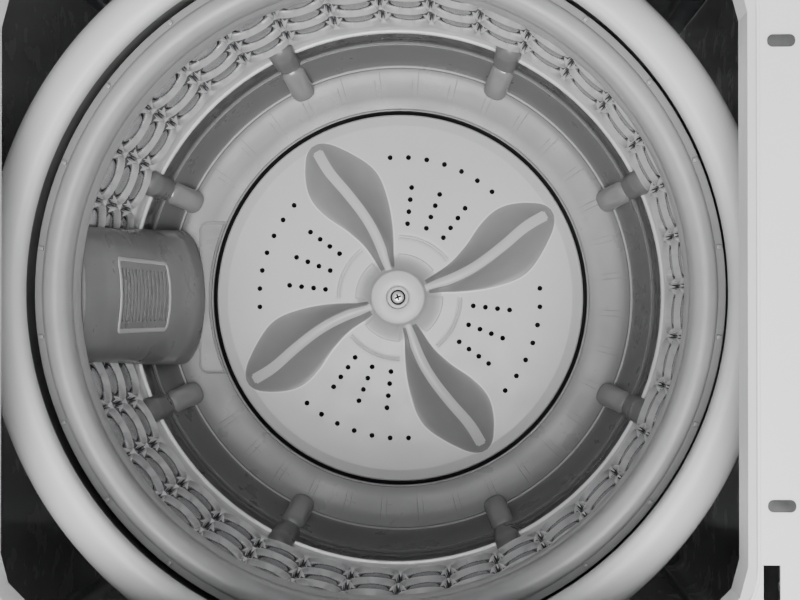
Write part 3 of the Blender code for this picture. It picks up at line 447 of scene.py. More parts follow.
def through(knots, value):
    """A smooth curve through the knots, flat beyond its ends."""
    xs, ys = (np.array(column) for column in zip(*knots))
    slopes = np.gradient(ys, xs)
    value = np.clip(value, xs[0], xs[-1])
    index = np.clip(np.searchsorted(xs, value) - 1, 0, len(xs) - 2)
    width = xs[index + 1] - xs[index]
    t = (value - xs[index]) / width
    rise = (2 * t**3 - 3 * t**2 + 1) * ys[index] + (3 * t**2 - 2 * t**3) * ys[index + 1]
    return rise + width * ((t**3 - 2 * t**2 + t) * slopes[index] + (t**3 - t**2) * slopes[index + 1])


def impeller_radii():
    """Radii of the rings, closer together at the grooves, the blades' tips and the rim."""
    plain = np.arange(0.0445, 0.1915, 0.0017)
    groove = [0.0453, 0.0459, 0.0465, 0.0628, 0.0634, 0.0640, 0.0652, 0.0658, 0.0664]
    tip = [0.1815, 0.1822, 0.1829, 0.1836, 0.1842, 0.1847]
    rim = [0.1917, 0.1924, 0.1930]
    return np.unique(np.round(np.concatenate([plain, groove, tip, rim]), 5))


def impeller_angles(radius):
    """Angles of a quarter of the impeller: the near flank, the crest, the far flank and the plate."""
    crest = float(through(BLADE_CREST, radius))
    ridge = math.degrees((0.0052 + 0.0012 * radius / BLADE_TIP) / max(radius, 0.030))
    shrink = math.sqrt(max(0.0, 1 - (max(radius - TIP_START, 0.0) / (BLADE_TIP - TIP_START)) ** 2))
    near = crest - max((crest - float(through(BLADE_NEAR_EDGE, radius))) * shrink, 0.6)
    far = crest + max((float(through(BLADE_FAR_EDGE, radius)) - crest) * shrink, 0.6)
    low = crest - min(ridge, (crest - near) * 0.5)
    high = crest + min(ridge, (far - crest) * 0.5)
    spans = ((near, low, 14), (low, high, 8), (high, far, 14))
    border = math.degrees(0.0016 / radius)
    plate = np.linspace(far + border, near + 90.0 - border, 53)
    return [
        np.linspace(start, end, count, endpoint=False) for start, end, count in spans
    ] + [np.append(far, plate)]


def blade_rise(radius):
    reach = np.clip((radius - 0.034) / (RIDGE_END + 0.003 - 0.034), 0.0, 1.0)
    return 0.0245 * (1 - reach**2.4) + 0.0004 * float(radius < BLADE_TIP - 0.001)


def impeller_top():
    """Rings of the impeller's upper face from rim to hub, and each column's finish.

    The finishes are 0 plate, 1 flank and 2 rim band in painted shade, and 4 a painted highlight along the
    blades' outlines. 3 is painted shade on the holes' walls, set later.
    """
    rings, flags = [], []
    for radius in impeller_radii()[::-1]:
        near, ridge, far, plate = impeller_angles(radius)
        inside = radius < BLADE_TIP
        rise = float(blade_rise(radius)) if inside else 0.0
        shoulder = rise * 0.90
        up_near = shoulder * (np.arange(len(near)) / len(near)) ** 1.7
        across = np.linspace(-1, 1, len(ridge), endpoint=False)
        up_ridge = shoulder + (rise - shoulder) * (1 - across**2)
        up_far = shoulder * (1 - np.arange(len(far)) / len(far)) ** 1.7
        share = np.arange(len(plate)) / len(plate)
        grooved = smoothstep(0.06, 0.08, share) * (1 - smoothstep(0.90, 0.92, share))
        grooves = sum(math.exp(-(((radius - at) / 0.0006) ** 2)) for at in (0.0634, 0.0658))
        step = 0.0014 * float(smoothstep(0.0465, 0.0453, radius)) if radius < 0.0475 else 0.0
        up_plate = (step - 0.0011 * grooves) * grooved
        dish = 0.0035 * max(0.0, 1 - radius / BAND_START) - 0.0016 * max(0.0, radius - BAND_START) / 0.0115
        base = RIM_Z + dish - 0.0010 * float(smoothstep(0.1917, 0.1932, radius))
        ring = []
        for quarter in range(4):
            for angles, up in ((near, up_near), (ridge, up_ridge), (far, up_far), (plate, up_plate)):
                for angle, height in zip(np.radians(angles + 90.0 * quarter), up):
                    ring.append((*at_angle(radius, angle), base + float(height)))
        rings.append(ring)
        plain = 2 if radius > BAND_START else 0
        flank = int(inside)
        open_ridge = max(0.0, 1 - (max(radius - RIDGE_END + 0.006, 0.0) / 0.006) ** 2) ** 0.5
        crest = [0 if abs(side) < open_ridge else flank for side in across]
        # The plate's first and last column beside each blade take the painted highlight.
        border = [4] + [plain] * (len(plate) - 2) + [4]
        row = [flank] * len(near) + crest + [flank] * len(far) + border
        flags.append(row * 4 if inside else [plain] * len(ring))
    return rings, flags


def hub_rings(ring):
    """Carries the innermost ring's columns up the skirt and over the round cap to the screw's recess."""
    angles = [math.atan2(y - CENTRE.y, x - CENTRE.x) for x, y, _ in ring]
    skirt = [(0.0415, 0.16), (0.0385, 0.33), (0.0355, 0.53), (0.0325, 0.74), (0.0300, 0.89)]
    profile = [(radius, None, share) for radius, share in skirt]
    cap = [
        (0.0287, 0.0075), (0.0283, 0.0040), (0.0278, 0.0020), (0.0268, 0.0006), (0.0255, 0.0),
        (0.0150, -0.0003), (0.0126, 0.0), (0.0120, 0.0006), (0.0118, 0.0018), (0.0118, 0.0048),
        (0.0036, 0.0050), (0.0036, 0.0175),
    ]
    profile += [(radius, HUB_TOP - drop, None) for radius, drop in cap]
    rings = []
    for radius, height, share in profile:
        points = []
        for angle, start in zip(angles, ring):
            z = height if share is None else start[2] + (HUB_TOP - 0.009 - start[2]) * share**1.6
            points.append((*at_angle(radius, angle), z))
        rings.append(points)
    return rings


def impeller_underside(ring):
    """The rim's turn, the flat underside and the shaft's socket, on the same columns as the top."""
    angles = [math.atan2(y - CENTRE.y, x - CENTRE.x) for x, y, _ in ring]
    under = RIM_Z - 0.0105
    profile = [
        (0.0096, HUB_TOP - 0.0178), (0.0096, under), (0.150, under + 0.0010), (0.1900, under + 0.0035),
        (0.1928, under + 0.0045), (IMPELLER_R, under + 0.0058), (IMPELLER_R, RIM_Z - 0.0042),
    ]
    return [[(*at_angle(radius, angle), z) for angle in angles] for radius, z in profile]


def drain_holes():
    """Centres of the small holes: an arc of seven and three spokes of four between the blades."""
    places = []
    for quarter in range(4):
        for step in range(7):
            places.append((0.1480, 48.75 + 7.5 * step + 90 * quarter))
        for spoke in range(3):
            for row in range(4):
                places.append((0.0783 + 0.0128 * row, 53.6 + 15.0 * spoke + 90 * quarter))
    return places


def make_impeller():
    """The impeller: plate, blades, hub and underside in one moulding, drilled with its small holes."""
    rings, flags = impeller_top()
    inner = hub_rings(rings[-1])
    below = impeller_underside(rings[0])
    sections = rings + inner + below
    points, faces = bridge(sections, True)
    count = len(rings[0])
    obj = piece("impeller_moulding", points, faces, "impeller", "impeller_plastic", ("impeller",), sharp=28)
    finish = np.zeros(len(faces), np.int32)
    for index, row in enumerate(flags + [flags[-1]] * 3):
        finish[index * count:(index + 1) * count] = row
    # Painted shade on the flanks, the rim band and the holes' walls, and a painted highlight along the
    # blades' outlines.
    for extra in ("painted_flank_shade", "painted_rim_shade", "shade", "painted_edge_highlight"):
        obj.data.materials.append(MATERIALS[extra])
    obj.data.polygons.foreach_set("material_index", finish)
    drills = []
    for radius, angle in drain_holes():
        centre = at_angle(radius, math.radians(angle))
        levels = [ring_points(HOLE_R, z, centre, 14) for z in (RIM_Z - 0.02, RIM_Z + 0.012)]
        drills.append(capped(levels))
    cut(obj, drills, sharp=28)
    paint_shade_in_holes(obj)


def paint_shade_in_holes(obj):
    """Gives the walls of the small holes painted shade."""
    centres = np.array([at_angle(radius, math.radians(angle)) for radius, angle in drain_holes()])
    for face in obj.data.polygons:
        if abs(face.normal.z) < 0.3:
            place = np.array(face.center[:2])
            if (np.hypot(*(centres - place).T) < HOLE_R * 1.02).any():
                face.material_index = 3


def make_impeller_screw():
    """A washer and a pan head screw with a cross recess, with painted shade in the gap round the head and in
    the recess.
    """
    seat = HUB_TOP - 0.005
    corners = [
        (0.0076, seat + 0.0002), (0.0112, seat + 0.0002), (0.0112, seat + 0.0022), (0.0076, seat + 0.0022),
    ]
    turned("impeller_washer", rounded_profile(corners, 0.0006), "impeller", "washer", count=64)
    corners = [
        (0.0033, seat + 0.0002), (0.0078, seat + 0.0002), (0.0078, seat + 0.0006), (0.0033, seat + 0.0006),
    ]
    # A flat ring in painted shade, standing for the dark gap between the head and the washer.
    turned("screw_gap_painted_shade", corners, "impeller", "shade", count=64)
    low = seat + 0.0012
    profile = [
        (0.0028, RIM_Z - 0.012), (0.0028, low), (0.0056, low), (0.0062, low + 0.0006), (0.0062, low + 0.0018),
        (0.0057, low + 0.0028), (0.0045, low + 0.0034), (0.0025, low + 0.0037),
    ]
    obj = turned(
        "impeller_cross_screw", profile, "impeller", "screw_head", ("impeller_screw",), count=48,
        closed=False,
    )
    for turn in (0.35, 0.35 + math.pi / 2):
        place = Matrix.Translation((CENTRE.x, CENTRE.y, 0)) @ Matrix.Rotation(turn, 4, "Z")
        low_end = rectangle((-0.0028, -0.0007), (0.0028, 0.0007), 0.0003, low + 0.0010, 2)
        high_end = rectangle((-0.0036, -0.0011), (0.0036, 0.0011), 0.0003, low + 0.0048, 2)
        cut(obj, [placed(capped([low_end, high_end]), place)], sharp=30)
    # Painted shade on the cross recess's walls and floor.
    obj.data.materials.append(MATERIALS["shade"])
    for face in obj.data.polygons:
        reach = off_axis(face)
        if reach < 0.0040 and low + 0.0008 < face.center.z < low + 0.0034 and face.normal.z < 0.9:
            face.material_index = 1
        elif reach < 0.0030 and abs(face.center.z - low - 0.0010) < 0.0001:
            face.material_index = 1


# ---------------------------------------------------------------- basket

BOSS_ANGLES = [90 * quarter + side * 25 for quarter in range(4) for side in (-1, 1)]
# Axis of each finger's lower and upper half: radius and height above the rim at its two ends.
LOWER_FINGER = ((0.2412, 0.0130), (0.2555, 0.0440))
UPPER_FINGER = ((0.2640, 0.0650), (0.2650, 0.1150))
COLUMNS = 36
COLUMN_PHASE = math.radians(1.8)  # angle of the first column of stars
ROW = 0.054
FIRST_ROW = RIM_Z + 0.136
ROWS = 6


def make_basket_base():
    """The moulded floor and steep wall, a bead, a double lip and the lower halves of the fingers."""
    profile = [
        (0.0132, -0.0180), (0.2000, -0.0180), (0.2025, -0.0060), (0.2360, -0.0012), (0.2465, 0.0050),
        (0.2528, 0.0200), (0.2586, 0.0490), (0.2592, 0.0585),
    ]
    profile += arc((0.2584, 0.0604), 0.0008, -10, 100, 4)
    profile += [(0.2577, 0.0606), (0.2571, 0.0604)]
    profile += arc((0.2562, 0.0602), 0.0010, 60, 180, 5)
    profile += [(0.2550, 0.0575), (0.2546, 0.0530), (0.2520, 0.0380), (0.2492, 0.0240), (0.2466, 0.0150)]
    profile += [(0.2449, 0.0108), (0.2440, 0.0092), (0.2432, 0.0086)]
    profile += arc((0.2420, 0.0084), 0.0008, 20, 160, 5)
    profile += [(0.2404, 0.0072), (0.2380, 0.0062), (0.2340, 0.0050), (0.2260, 0.0036), (0.2120, 0.0022)]
    profile += [(0.2000, 0.0012), (0.1994, 0.0010), (0.1991, 0.0002), (0.1987, 0.0002), (0.1984, 0.0010)]
    profile += arc((0.1978, 0.0000), 0.0010, 80, 180, 4)
    profile += [(0.1968, -0.0135), (0.1960, -0.0140), (0.0132, -0.0140)]
    sections = [ring_points(radius, RIM_Z + z, CENTRE, 288) for radius, z in profile]
    obj = piece(
        "basket_base_moulding", *bridge(sections, True), "basket", "grey_plastic", ("basket_base",), sharp=30,
    )
    # Near black on the recess floor and wall under the impeller's rim: painted shade.
    obj.data.materials.append(MATERIALS["shade"])
    # A lighter grey along the bead's crest: painted highlight.
    obj.data.materials.append(MATERIALS["painted_bead_highlight"])
    for face in obj.data.polygons:
        reach = off_axis(face)
        if reach < 0.1974 and face.center.z < RIM_Z - 0.0010:
            face.material_index = 1
        elif 0.2409 < reach < 0.2431 and face.center.z > RIM_Z + 0.0075:
            face.material_index = 2
    # The lower fingers take a lighter copy of the grey plastic, painted light; the upper ones keep the plain
    # grey.
    for number, angle in enumerate(BOSS_ANGLES, start=1):
        piece(
            f"base_finger_{number}", *finger(angle, 0.0125, LOWER_FINGER), "basket", "finger_plastic",
            sharp=89,
        )


def finger(angle, radius, ends, limit=None):
    """A round-ended finger at an angle round the drum, between two (radius, height) ends."""
    turn = math.radians(angle)
    outward = Vector((math.cos(turn), math.sin(turn), 0.0))
    first, last = (CENTRE + outward * reach + Vector((0, 0, RIM_Z + height)) for reach, height in ends)
    axis = (last - first).normalized()
    side = axis.cross(outward).normalized()
    front = side.cross(axis)
    rings = []
    for centre, start, end in ((first, -88, 0), (last, 0, 88)):
        for step in range(9):
            swing = math.radians(start + (end - start) * step / 8)
            level = centre + axis * radius * math.sin(swing)
            reach = radius * math.cos(swing)
            loop = []
            for turn_step in range(32):
                a = TAU * turn_step / 32
                wide, deep = math.cos(a), math.sin(a)
                square = (abs(wide) ** 2.7 + abs(deep) ** 2.7) ** (-1 / 2.7)
                point = level + (side * wide + front * deep) * reach * square
                loop.append(tuple(point))
            rings.append(loop)
    points, faces = capped(rings)
    if limit:
        points = [held_in(point, limit) for point in points]
    return points, faces


def held_in(point, limit):
    """The point, pulled towards the drum's axis where it is further out than the limit."""
    offset = Vector((point[0] - CENTRE.x, point[1] - CENTRE.y))
    if offset.length <= limit:
        return point
    offset = offset.normalized() * limit
    return (CENTRE.x + offset.x, CENTRE.y + offset.y, point[2])


def make_upper_fingers():
    for number, angle in enumerate(BOSS_ANGLES, start=1):
        points, faces = finger(angle, 0.0130, UPPER_FINGER, limit=BASKET_R + 0.0050)
        piece(f"wall_finger_{number}", points, faces, "basket", "grey_plastic", sharp=89)


# How far the steel stands in, against the distance from an oval's middle, which is 1 at its edge:
# a flat panel, a fine groove, a ledge that faces up, and a round rim.
OVAL_PROFILE = (
    (0.00, -0.0034), (0.45, -0.0036), (0.60, -0.0040), (0.635, -0.0042), (0.66, -0.0056), (0.685, -0.0056),
    (0.71, -0.0044), (0.77, -0.0046), (0.80, -0.0045), (0.83, -0.0042), (0.87, 0.0006), (0.92, 0.0012),
    (0.96, -0.0006), (1.00, -0.0062),
)
BAND_TOP = RIM_Z + 0.0977  # of the plain band below the ovals
OVAL_RINGS = (0.25, *(distance for distance, _ in OVAL_PROFILE[1:]))


def oval_distance(u, v):
    """1 at the edge of an oval that just fills its cell, u and v being fractions of the cell."""
    return ((2 * np.abs(u)) ** 1.8 + (2 * np.abs(v)) ** 2.1) ** 0.5


def wall_relief(x, height):
    """How far the steel stands into the basket.

    Ovals with a raised rim and a sunk panel, and dished stars between them. Below them a plain band
    with a rolled foot stands in, with a ledge on top that faces up.
    """
    width = TAU * BASKET_R / COLUMNS
    row = (height - FIRST_ROW) / ROW
    v = row - np.floor(row) - 0.5
    u = np.abs(x) / width - 0.5
    edge = np.minimum(oval_distance(u, v), 1.0)
    lower = np.interp(edge, *zip(*OVAL_PROFILE))
    upper = np.interp(edge, (0.0, 0.86, 0.94, 1.0), (-0.0034, -0.0040, -0.0050, -0.0062))
    share = smoothstep(0.12, 0.40, v)
    across = 1 - 2 * np.abs(u)
    beside = np.abs(row - np.round(row))
    dimple = -0.0026 * np.clip(1 - np.hypot(across * 2.6, beside * 3.4), 0.0, 1.0)
    ovals = lower * (1 - share) + upper * share + dimple
    ledge = -0.0036 * smoothstep(BAND_TOP, BAND_TOP + 0.0022, height)
    slope = -0.0026 * np.clip((height - BAND_TOP - 0.0022) / (FIRST_ROW - BAND_TOP - 0.0022), 0.0, 1.0)
    foot = 0.0021 * np.clip(1 - ((height - RIM_Z - 0.0655) / 0.0042) ** 2, 0.0, 1.0) ** 0.5
    return np.where(height > FIRST_ROW, ovals, ledge + slope + dimple + foot)


def wall_finish(place):
    """Which steel a spot has: 0 brushed, 1 a groove's painted shadow, 2 a painted highlight on a ledge or a
    star, 3 the band's painted shade.
    """
    if place.z < FIRST_ROW:
        return 3 if place.z < BAND_TOP - 0.0002 else 2
    turn = math.atan2(place.y - CENTRE.y, place.x - CENTRE.x) - COLUMN_PHASE
    u = abs((turn / (TAU / COLUMNS)) % 1.0 - 0.5)
    row = (place.z - FIRST_ROW) / ROW
    v = row - math.floor(row) - 0.5
    edge = oval_distance(u, v)
    if v < 0.22 and 0.63 < edge < 0.70:
        return 1
    if v < 0.26 and 0.83 < edge < 0.96:
        return 2
    return 2 if edge > 1.02 and abs(v) > 0.30 else 0


def wall_tile():
    """One cell of the wall, flat, centred on a star: points, triangles, and the points on holes' rims."""
    width = TAU * BASKET_R / COLUMNS
    holes = [(0.0, 0.0, 0.0027), (-width * 0.27, -0.0050, 0.0014), (width * 0.27, -0.0050, 0.0014)]
    points, edges = [], []
    for x, y, radius in holes:
        for scale in (1.0, 1.4):
            start = len(points)
            for step in range(12):
                a = TAU * step / 12
                points.append(Vector(at_angle(scale * radius, a, (x, y))))
            if scale == 1.0:
                edges += [(start + step, start + (step + 1) % 12) for step in range(12)]
    fixed = len(points)
    for ring in OVAL_RINGS:
        steps = max(3, round(13 * ring))
        for step in range(steps + 1):
            a = math.pi / 2 * step / steps
            u = 0.5 * (ring**2) ** (1 / 1.8) * abs(math.cos(a)) ** (2 / 1.8)
            v = 0.5 * (ring**2) ** (1 / 2.1) * abs(math.sin(a)) ** (2 / 2.1)
            for side_x in (-1, 1):
                for side_y in (-1, 1):
                    points.append(Vector((side_x * (0.5 - u) * width, side_y * (0.5 - v) * ROW)))
    points += [Vector((side_x * width / 2, side_y * ROW / 2)) for side_x in (-1, 1) for side_y in (-1, 1)]
    for i in range(-4, 5):
        for j in range(-6, 7):
            u, v = 0.5 - abs(i) / 12, 0.5 - abs(j) / 13
            if oval_distance(u, v) > 1.06:
                points.append(Vector((i / 12 * width, j / 13 * ROW)))
    clear = [
        point for point in points[fixed:] if all(
            (point - Vector(h[:2])).length > h[2] * 1.4 + 0.0005 for h in holes
        )
    ]
    found, _, faces, *_ = delaunay_2d_cdt(points[:fixed] + clear, edges, [], 0, 1e-6)
    kept = []
    for face in faces:
        middle = sum((found[index] for index in face), Vector((0.0, 0.0))) / len(face)
        if all((middle - Vector(hole[:2])).length > hole[2] * 0.98 for hole in holes):
            kept.append(tuple(face))
    rim = [any(abs(math.hypot(p.x - h[0], p.y - h[1]) - h[2]) < 1e-5 for h in holes) for p in found]
    return np.array([tuple(p) for p in found]), np.array(kept), np.array(rim)


def make_basket_wall():
    """The embossed and perforated steel wall: a flat cell repeated round the basket and up it."""
    flat, triangles, rim = wall_tile()
    top = WALL_HIGH.z
    xs, angles, heights, rims, faces = [], [], [], [], []
    total = 0
    for column in range(COLUMNS):
        turn = COLUMN_PHASE + TAU * column / COLUMNS
        for row in range(ROWS):
            xs.append(flat[:, 0])
            angles.append(turn + flat[:, 0] / BASKET_R)
            heights.append(FIRST_ROW + ROW * row + flat[:, 1])
            rims.append(rim)
            faces.append(triangles + total)
            total += len(flat)
        across = np.unique(np.round(flat[flat[:, 1] < 1e-6 - ROW / 2, 0], 7))
        band = [
            RIM_Z + 0.0740, RIM_Z + 0.0860, *np.linspace(BAND_TOP, BAND_TOP + 0.0024, 7), FIRST_ROW - ROW / 2,
        ]
        up = np.concatenate([[WALL_LOW.z], RIM_Z + np.linspace(0.0610, 0.0700, 11), band])
        grid_x, grid_z = np.meshgrid(across, up)
        xs.append(grid_x.ravel())
        angles.append(turn + grid_x.ravel() / BASKET_R)
        heights.append(grid_z.ravel())
        rims.append(np.zeros(grid_x.size, bool))
        base = total + (np.arange(len(up) - 1)[:, None] * len(across) + np.arange(len(across) - 1)).ravel()
        right = base + 1
        above = base + len(across)
        faces.append(np.stack([base, right, above + 1], 1))
        faces.append(np.stack([base, above + 1, above], 1))
        total += grid_x.size
    x, angle, height = np.concatenate(xs), np.concatenate(angles), np.concatenate(heights)
    rims = np.concatenate(rims)
    relief = wall_relief(x, height) - 0.0008 * rims
    radius = BASKET_R - relief
    points = np.stack([CENTRE.x + radius * np.cos(angle), CENTRE.y + radius * np.sin(angle), height], 1)
    faces = np.concatenate(faces)
    faces = faces[(height[faces] <= top + 1e-6).all(1)]
    _, first, inverse = np.unique(
        np.round(points / 2e-5).astype(np.int64), axis=0, return_index=True, return_inverse=True,
    )
    faces = inverse.reshape(-1)[faces]
    faces = faces[(faces[:, 0] != faces[:, 1]) & (faces[:, 1] != faces[:, 2]) & (faces[:, 0] != faces[:, 2])]
    mesh = bpy.data.meshes.new("basket_wall_sheet")
    mesh.from_pydata(points[first].tolist(), [], faces.tolist())
    obj = bpy.data.objects.new("basket_wall_sheet", mesh)
    bpy.context.scene.collection.objects.link(obj)
    work = bmesh.new()
    work.from_mesh(mesh)
    loose = [vert for vert in work.verts if not vert.link_faces]
    bmesh.ops.delete(work, geom=loose, context="VERTS")
    for face in work.faces:
        middle = face.calc_center_median()
        if face.normal.x * (CENTRE.x - middle.x) + face.normal.y * (CENTRE.y - middle.y) < 0:
            face.normal_flip()
    work.to_mesh(mesh)
    work.free()
    finished(obj, "basket", "stainless", ("basket_wall",), sharp=60)
    # Painted shadow in the grooves, painted highlight on the ledges and stars, painted shade on the band
    # below the ovals.
    for extra in ("steel_shadow", "painted_steel_highlight", "painted_steel_band_shade"):
        obj.data.materials.append(MATERIALS[extra])
    obj.data.polygons.foreach_set("material_index", [wall_finish(face.center) for face in obj.data.polygons])


def floor_height(radius):
    """Height of the basket's moulded floor above the rim plane."""
    return 0.0012 + 0.0050 * max(0.0, (radius - 0.200) / 0.038) ** 1.6


def make_floor_cover():
    """The flat cover at the filter's foot, let into the floor beside the impeller, with a double border."""
    half, far, near, corner = 0.0805, 0.2115, 0.1987, 0.0090
    outline = []
    swing = math.asin(half / near)
    for step in range(33):
        angle = math.pi - swing * (1 - step / 16)
        outline.append(at_angle(near, angle, (0.0, 0.0)))
    for centre, start in (((-far + corner, -half + corner), 270), ((-far + corner, half - corner), 180)):
        for step in range(9):
            angle = math.radians(start - 90 * step / 8)
            outline.append(at_angle(corner, angle, centre))
    levels = (
        (0.0, -0.0008), (0.0, 0.0008), (0.0005, 0.0013), (0.0014, 0.0013), (0.0017, 0.0004), (0.0027, 0.0004),
        (0.0030, 0.0012), (0.0040, 0.0012),
    )
    sections = []
    for inset, rise in levels:
        section = []
        for x, y in inset_loop(outline, inset):
            section.append((CENTRE.x + x, CENTRE.y + y, RIM_Z + floor_height(math.hypot(x, y)) + rise))
        sections.append(section)
    piece("floor_cover", *capped(sections), "basket", "grey_plastic", sharp=25)


def inset_loop(outline, inset):
    """The closed outline, moved in by the inset across each point's neighbours."""
    area = sum(a[0] * b[1] - b[0] * a[1] for a, b in zip(outline, outline[1:] + outline[:1]))
    side = math.copysign(inset, area)
    inner = []
    for index, here in enumerate(outline):
        before, after = Vector(outline[index - 1]), Vector(outline[(index + 1) % len(outline)])
        first, second = (Vector(here) - before).normalized(), (after - Vector(here)).normalized()
        across = first + second
        across = Vector((-across.y, across.x)).normalized()
        spread_out = max(0.5, across.dot(Vector((-second.y, second.x))))
        inner.append(tuple(Vector(here) + across * side / spread_out))
    return inner


def make_floor_ribs():
    """Fine radial ribs moulded round the floor band, each with a short cross mark."""
    parts = []
    for step in range(36):
        angle = TAU * (step + 0.5) / 36
        if abs(angle - math.pi) < 0.45:
            continue
        mark = 0.2180 + 0.0030 * math.sin(step * 2.3)
        spans = ((0.2050, 0.2385, -0.0004, 0.0004), (mark, mark + 0.0007, 0.0004, 0.0075))
        for inner, outer, right, left in spans:
            parts.append(floor_rib(angle, inner, outer, right, left))
            parts.append(floor_rib(angle + math.radians(1.5), inner, min(outer, 0.2300), right, left * 0.8))
    piece("floor_ribs", *merged(parts), "basket", "grey_plastic", sharp=20)


def floor_rib(angle, inner, outer, right, left):
    """A low rib on the floor, between two radii and two sideways offsets from its angle."""
    out = Vector((math.cos(angle), math.sin(angle)))
    side = Vector((-out.y, out.x))
    rings = []
    for shrink, rise in ((0.0, -0.0004), (0.0, 0.00012), (0.0002, 0.00028)):
        ring = []
        corners = [(inner + (outer - inner) * part / 6, right + shrink) for part in range(7)]
        corners += [(outer - (outer - inner) * part / 6, left - shrink) for part in range(7)]
        for reach, across in corners:
            place = out * reach + side * across
            ring.append((CENTRE.x + place.x, CENTRE.y + place.y, RIM_Z + floor_height(place.length) + rise))
        rings.append(ring)
    return capped(rings)


def column_section(height, front, back, half, bulge_steps=24):
    """One level of the filter's channel: round at the back, bulging at the front."""
    points = []
    for step in range(17):
        y = half * (1 - step / 8)
        points.append((CENTRE.x - math.sqrt(back**2 - y**2), CENTRE.y + y, RIM_Z + height))
    side = math.sqrt(back**2 - half**2)
    for step in range(1, bulge_steps):
        turn = math.pi * (step / bulge_steps - 0.5)
        y = half * math.sin(turn)
        x = side - (side - front) * max(0.0, 1 - (y / half) ** 2) ** 0.5
        points.append((CENTRE.x - x, CENTRE.y + y, RIM_Z + height))
    return points


COLUMN_STAGES = (
    (0.0085, 0.2052, 0.2385, 0.0690), (0.0100, 0.2046, 0.2385, 0.0698), (0.0300, 0.2046, 0.2386, 0.0700),
    (0.0500, 0.2066, 0.2390, 0.0690), (0.0715, 0.2092, 0.2400, 0.0680), (0.0780, 0.2102, 0.2585, 0.0680),
    (0.1200, 0.2170, 0.2585, 0.0660), (0.2000, 0.2275, 0.2585, 0.0620), (0.3000, 0.2335, 0.2585, 0.0575),
    (0.3560, 0.2370, 0.2585, 0.0550), (0.3595, 0.2385, 0.2580, 0.0535),
)


def make_filter_column():
    """The lint filter's channel up the left of the basket, with slots in its face and a frame round them."""
    obj = piece(
        "filter_column_moulding", *capped([column_section(*stage) for stage in COLUMN_STAGES]), "basket",
        "grey_plastic", ("filter_column",), sharp=45,
    )
    slots = []
    for step in range(13):
        height = RIM_Z + 0.132 + 0.0105 * step
        reach = column_front(height - RIM_Z, 0.0)
        low = rectangle((-0.0024, -0.0240), (0.0024, 0.0240), 0.0022, 0.0, 4)
        high = rectangle((-0.0024, -0.0240), (0.0024, 0.0240), 0.0022, 0.0120, 4)
        place = Matrix.Translation(
            (CENTRE.x - reach - 0.0100, CENTRE.y, height)
        ) @ Matrix.Rotation(math.pi / 2, 4, "Y")
        slots.append(placed(capped([low, high]), place))
    cut(obj, slots, sharp=45)
    border = column_frame(0.0340, 0.1235, 0.2690, 0.0004)
    piece("filter_window_frame", *border, "basket", "impeller_plastic", sharp=30)


def column_front(height, y):
    """How far from the drum's axis the channel's face is at a height and a distance from its middle."""
    for low, high in zip(COLUMN_STAGES, COLUMN_STAGES[1:]):
        if low[0] <= height <= high[0]:
            t = (height - low[0]) / (high[0] - low[0])
            front, back, half = (low[i] + (high[i] - low[i]) * t for i in (1, 2, 3))
            side = math.sqrt(back**2 - half**2)
            return side - (side - front) * max(0.0, 1 - (y / half) ** 2) ** 0.5
    return COLUMN_STAGES[-1][1]


def column_frame(half, low, high, rise):
    """A raised border on the channel's face, round its slots."""
    sections = []
    for inset, out in (
        (0.0, -0.0010), (0.0, rise), (0.0008, rise + 0.0006), (0.0032, rise + 0.0006), (0.0040, rise),
        (0.0040, -0.0010),
    ):
        loop = []
        for y, z, _ in rectangle(
            (-half + inset, low + inset), (half - inset, high - inset), 0.008 - inset, 0.0, 8,
        ):
            loop.append((y, z))
        dense = []
        for index, point in enumerate(loop):
            following = loop[(index + 1) % len(loop)]
            for part in range(4):
                t = part / 4
                dense.append(
                    (point[0] + (following[0] - point[0]) * t, point[1] + (following[1] - point[1]) * t)
                )
        sections.append([(CENTRE.x - column_front(z, y) + out, CENTRE.y + y, RIM_Z + z) for y, z in dense])
    return bridge(sections, True)


def make_balance_ring():
    """The ring on top of the basket: a broad rounded crown, a step outside it and a welded seam inside."""
    low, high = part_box("balance_ring")
    top, base = high.z, low.z
    profile = [
        (0.2422, base), (0.2592, base), (0.2592, 0.7482), (0.2652, 0.7482), (0.2655, 0.7486),
        (0.2655, top - 0.0060), (0.2650, top - 0.0048), (0.2636, top - 0.0044), (0.2600, top - 0.0044),
        (0.2592, top - 0.0040), (0.2586, top - 0.0026), (0.2576, top - 0.0012), (0.2555, top - 0.0003),
        (0.2520, top), (0.2480, top - 0.0004), (0.2445, top - 0.0018), (0.2420, top - 0.0042),
        (0.2406, top - 0.0075), (0.2401, top - 0.0120), (0.2401, top - 0.0225), (0.2404, top - 0.0230),
        (0.2404, top - 0.0238), (0.2401, top - 0.0243), (0.2401, base + 0.0035), (0.2406, base + 0.0012),
    ]
    turned("balance_ring_moulding", profile, "basket", "ring_plastic", ("balance_ring",), count=256, sharp=38)
    rib = pad((0.2600, -0.0016), (0.2640, 0.0016), 0.0008, top - 0.0050, top - 0.0016, 0.0004, 3)
    piece("balance_ring_ribs", *merged(round_axis(rib, 24)), "basket", "ring_plastic", sharp=30)


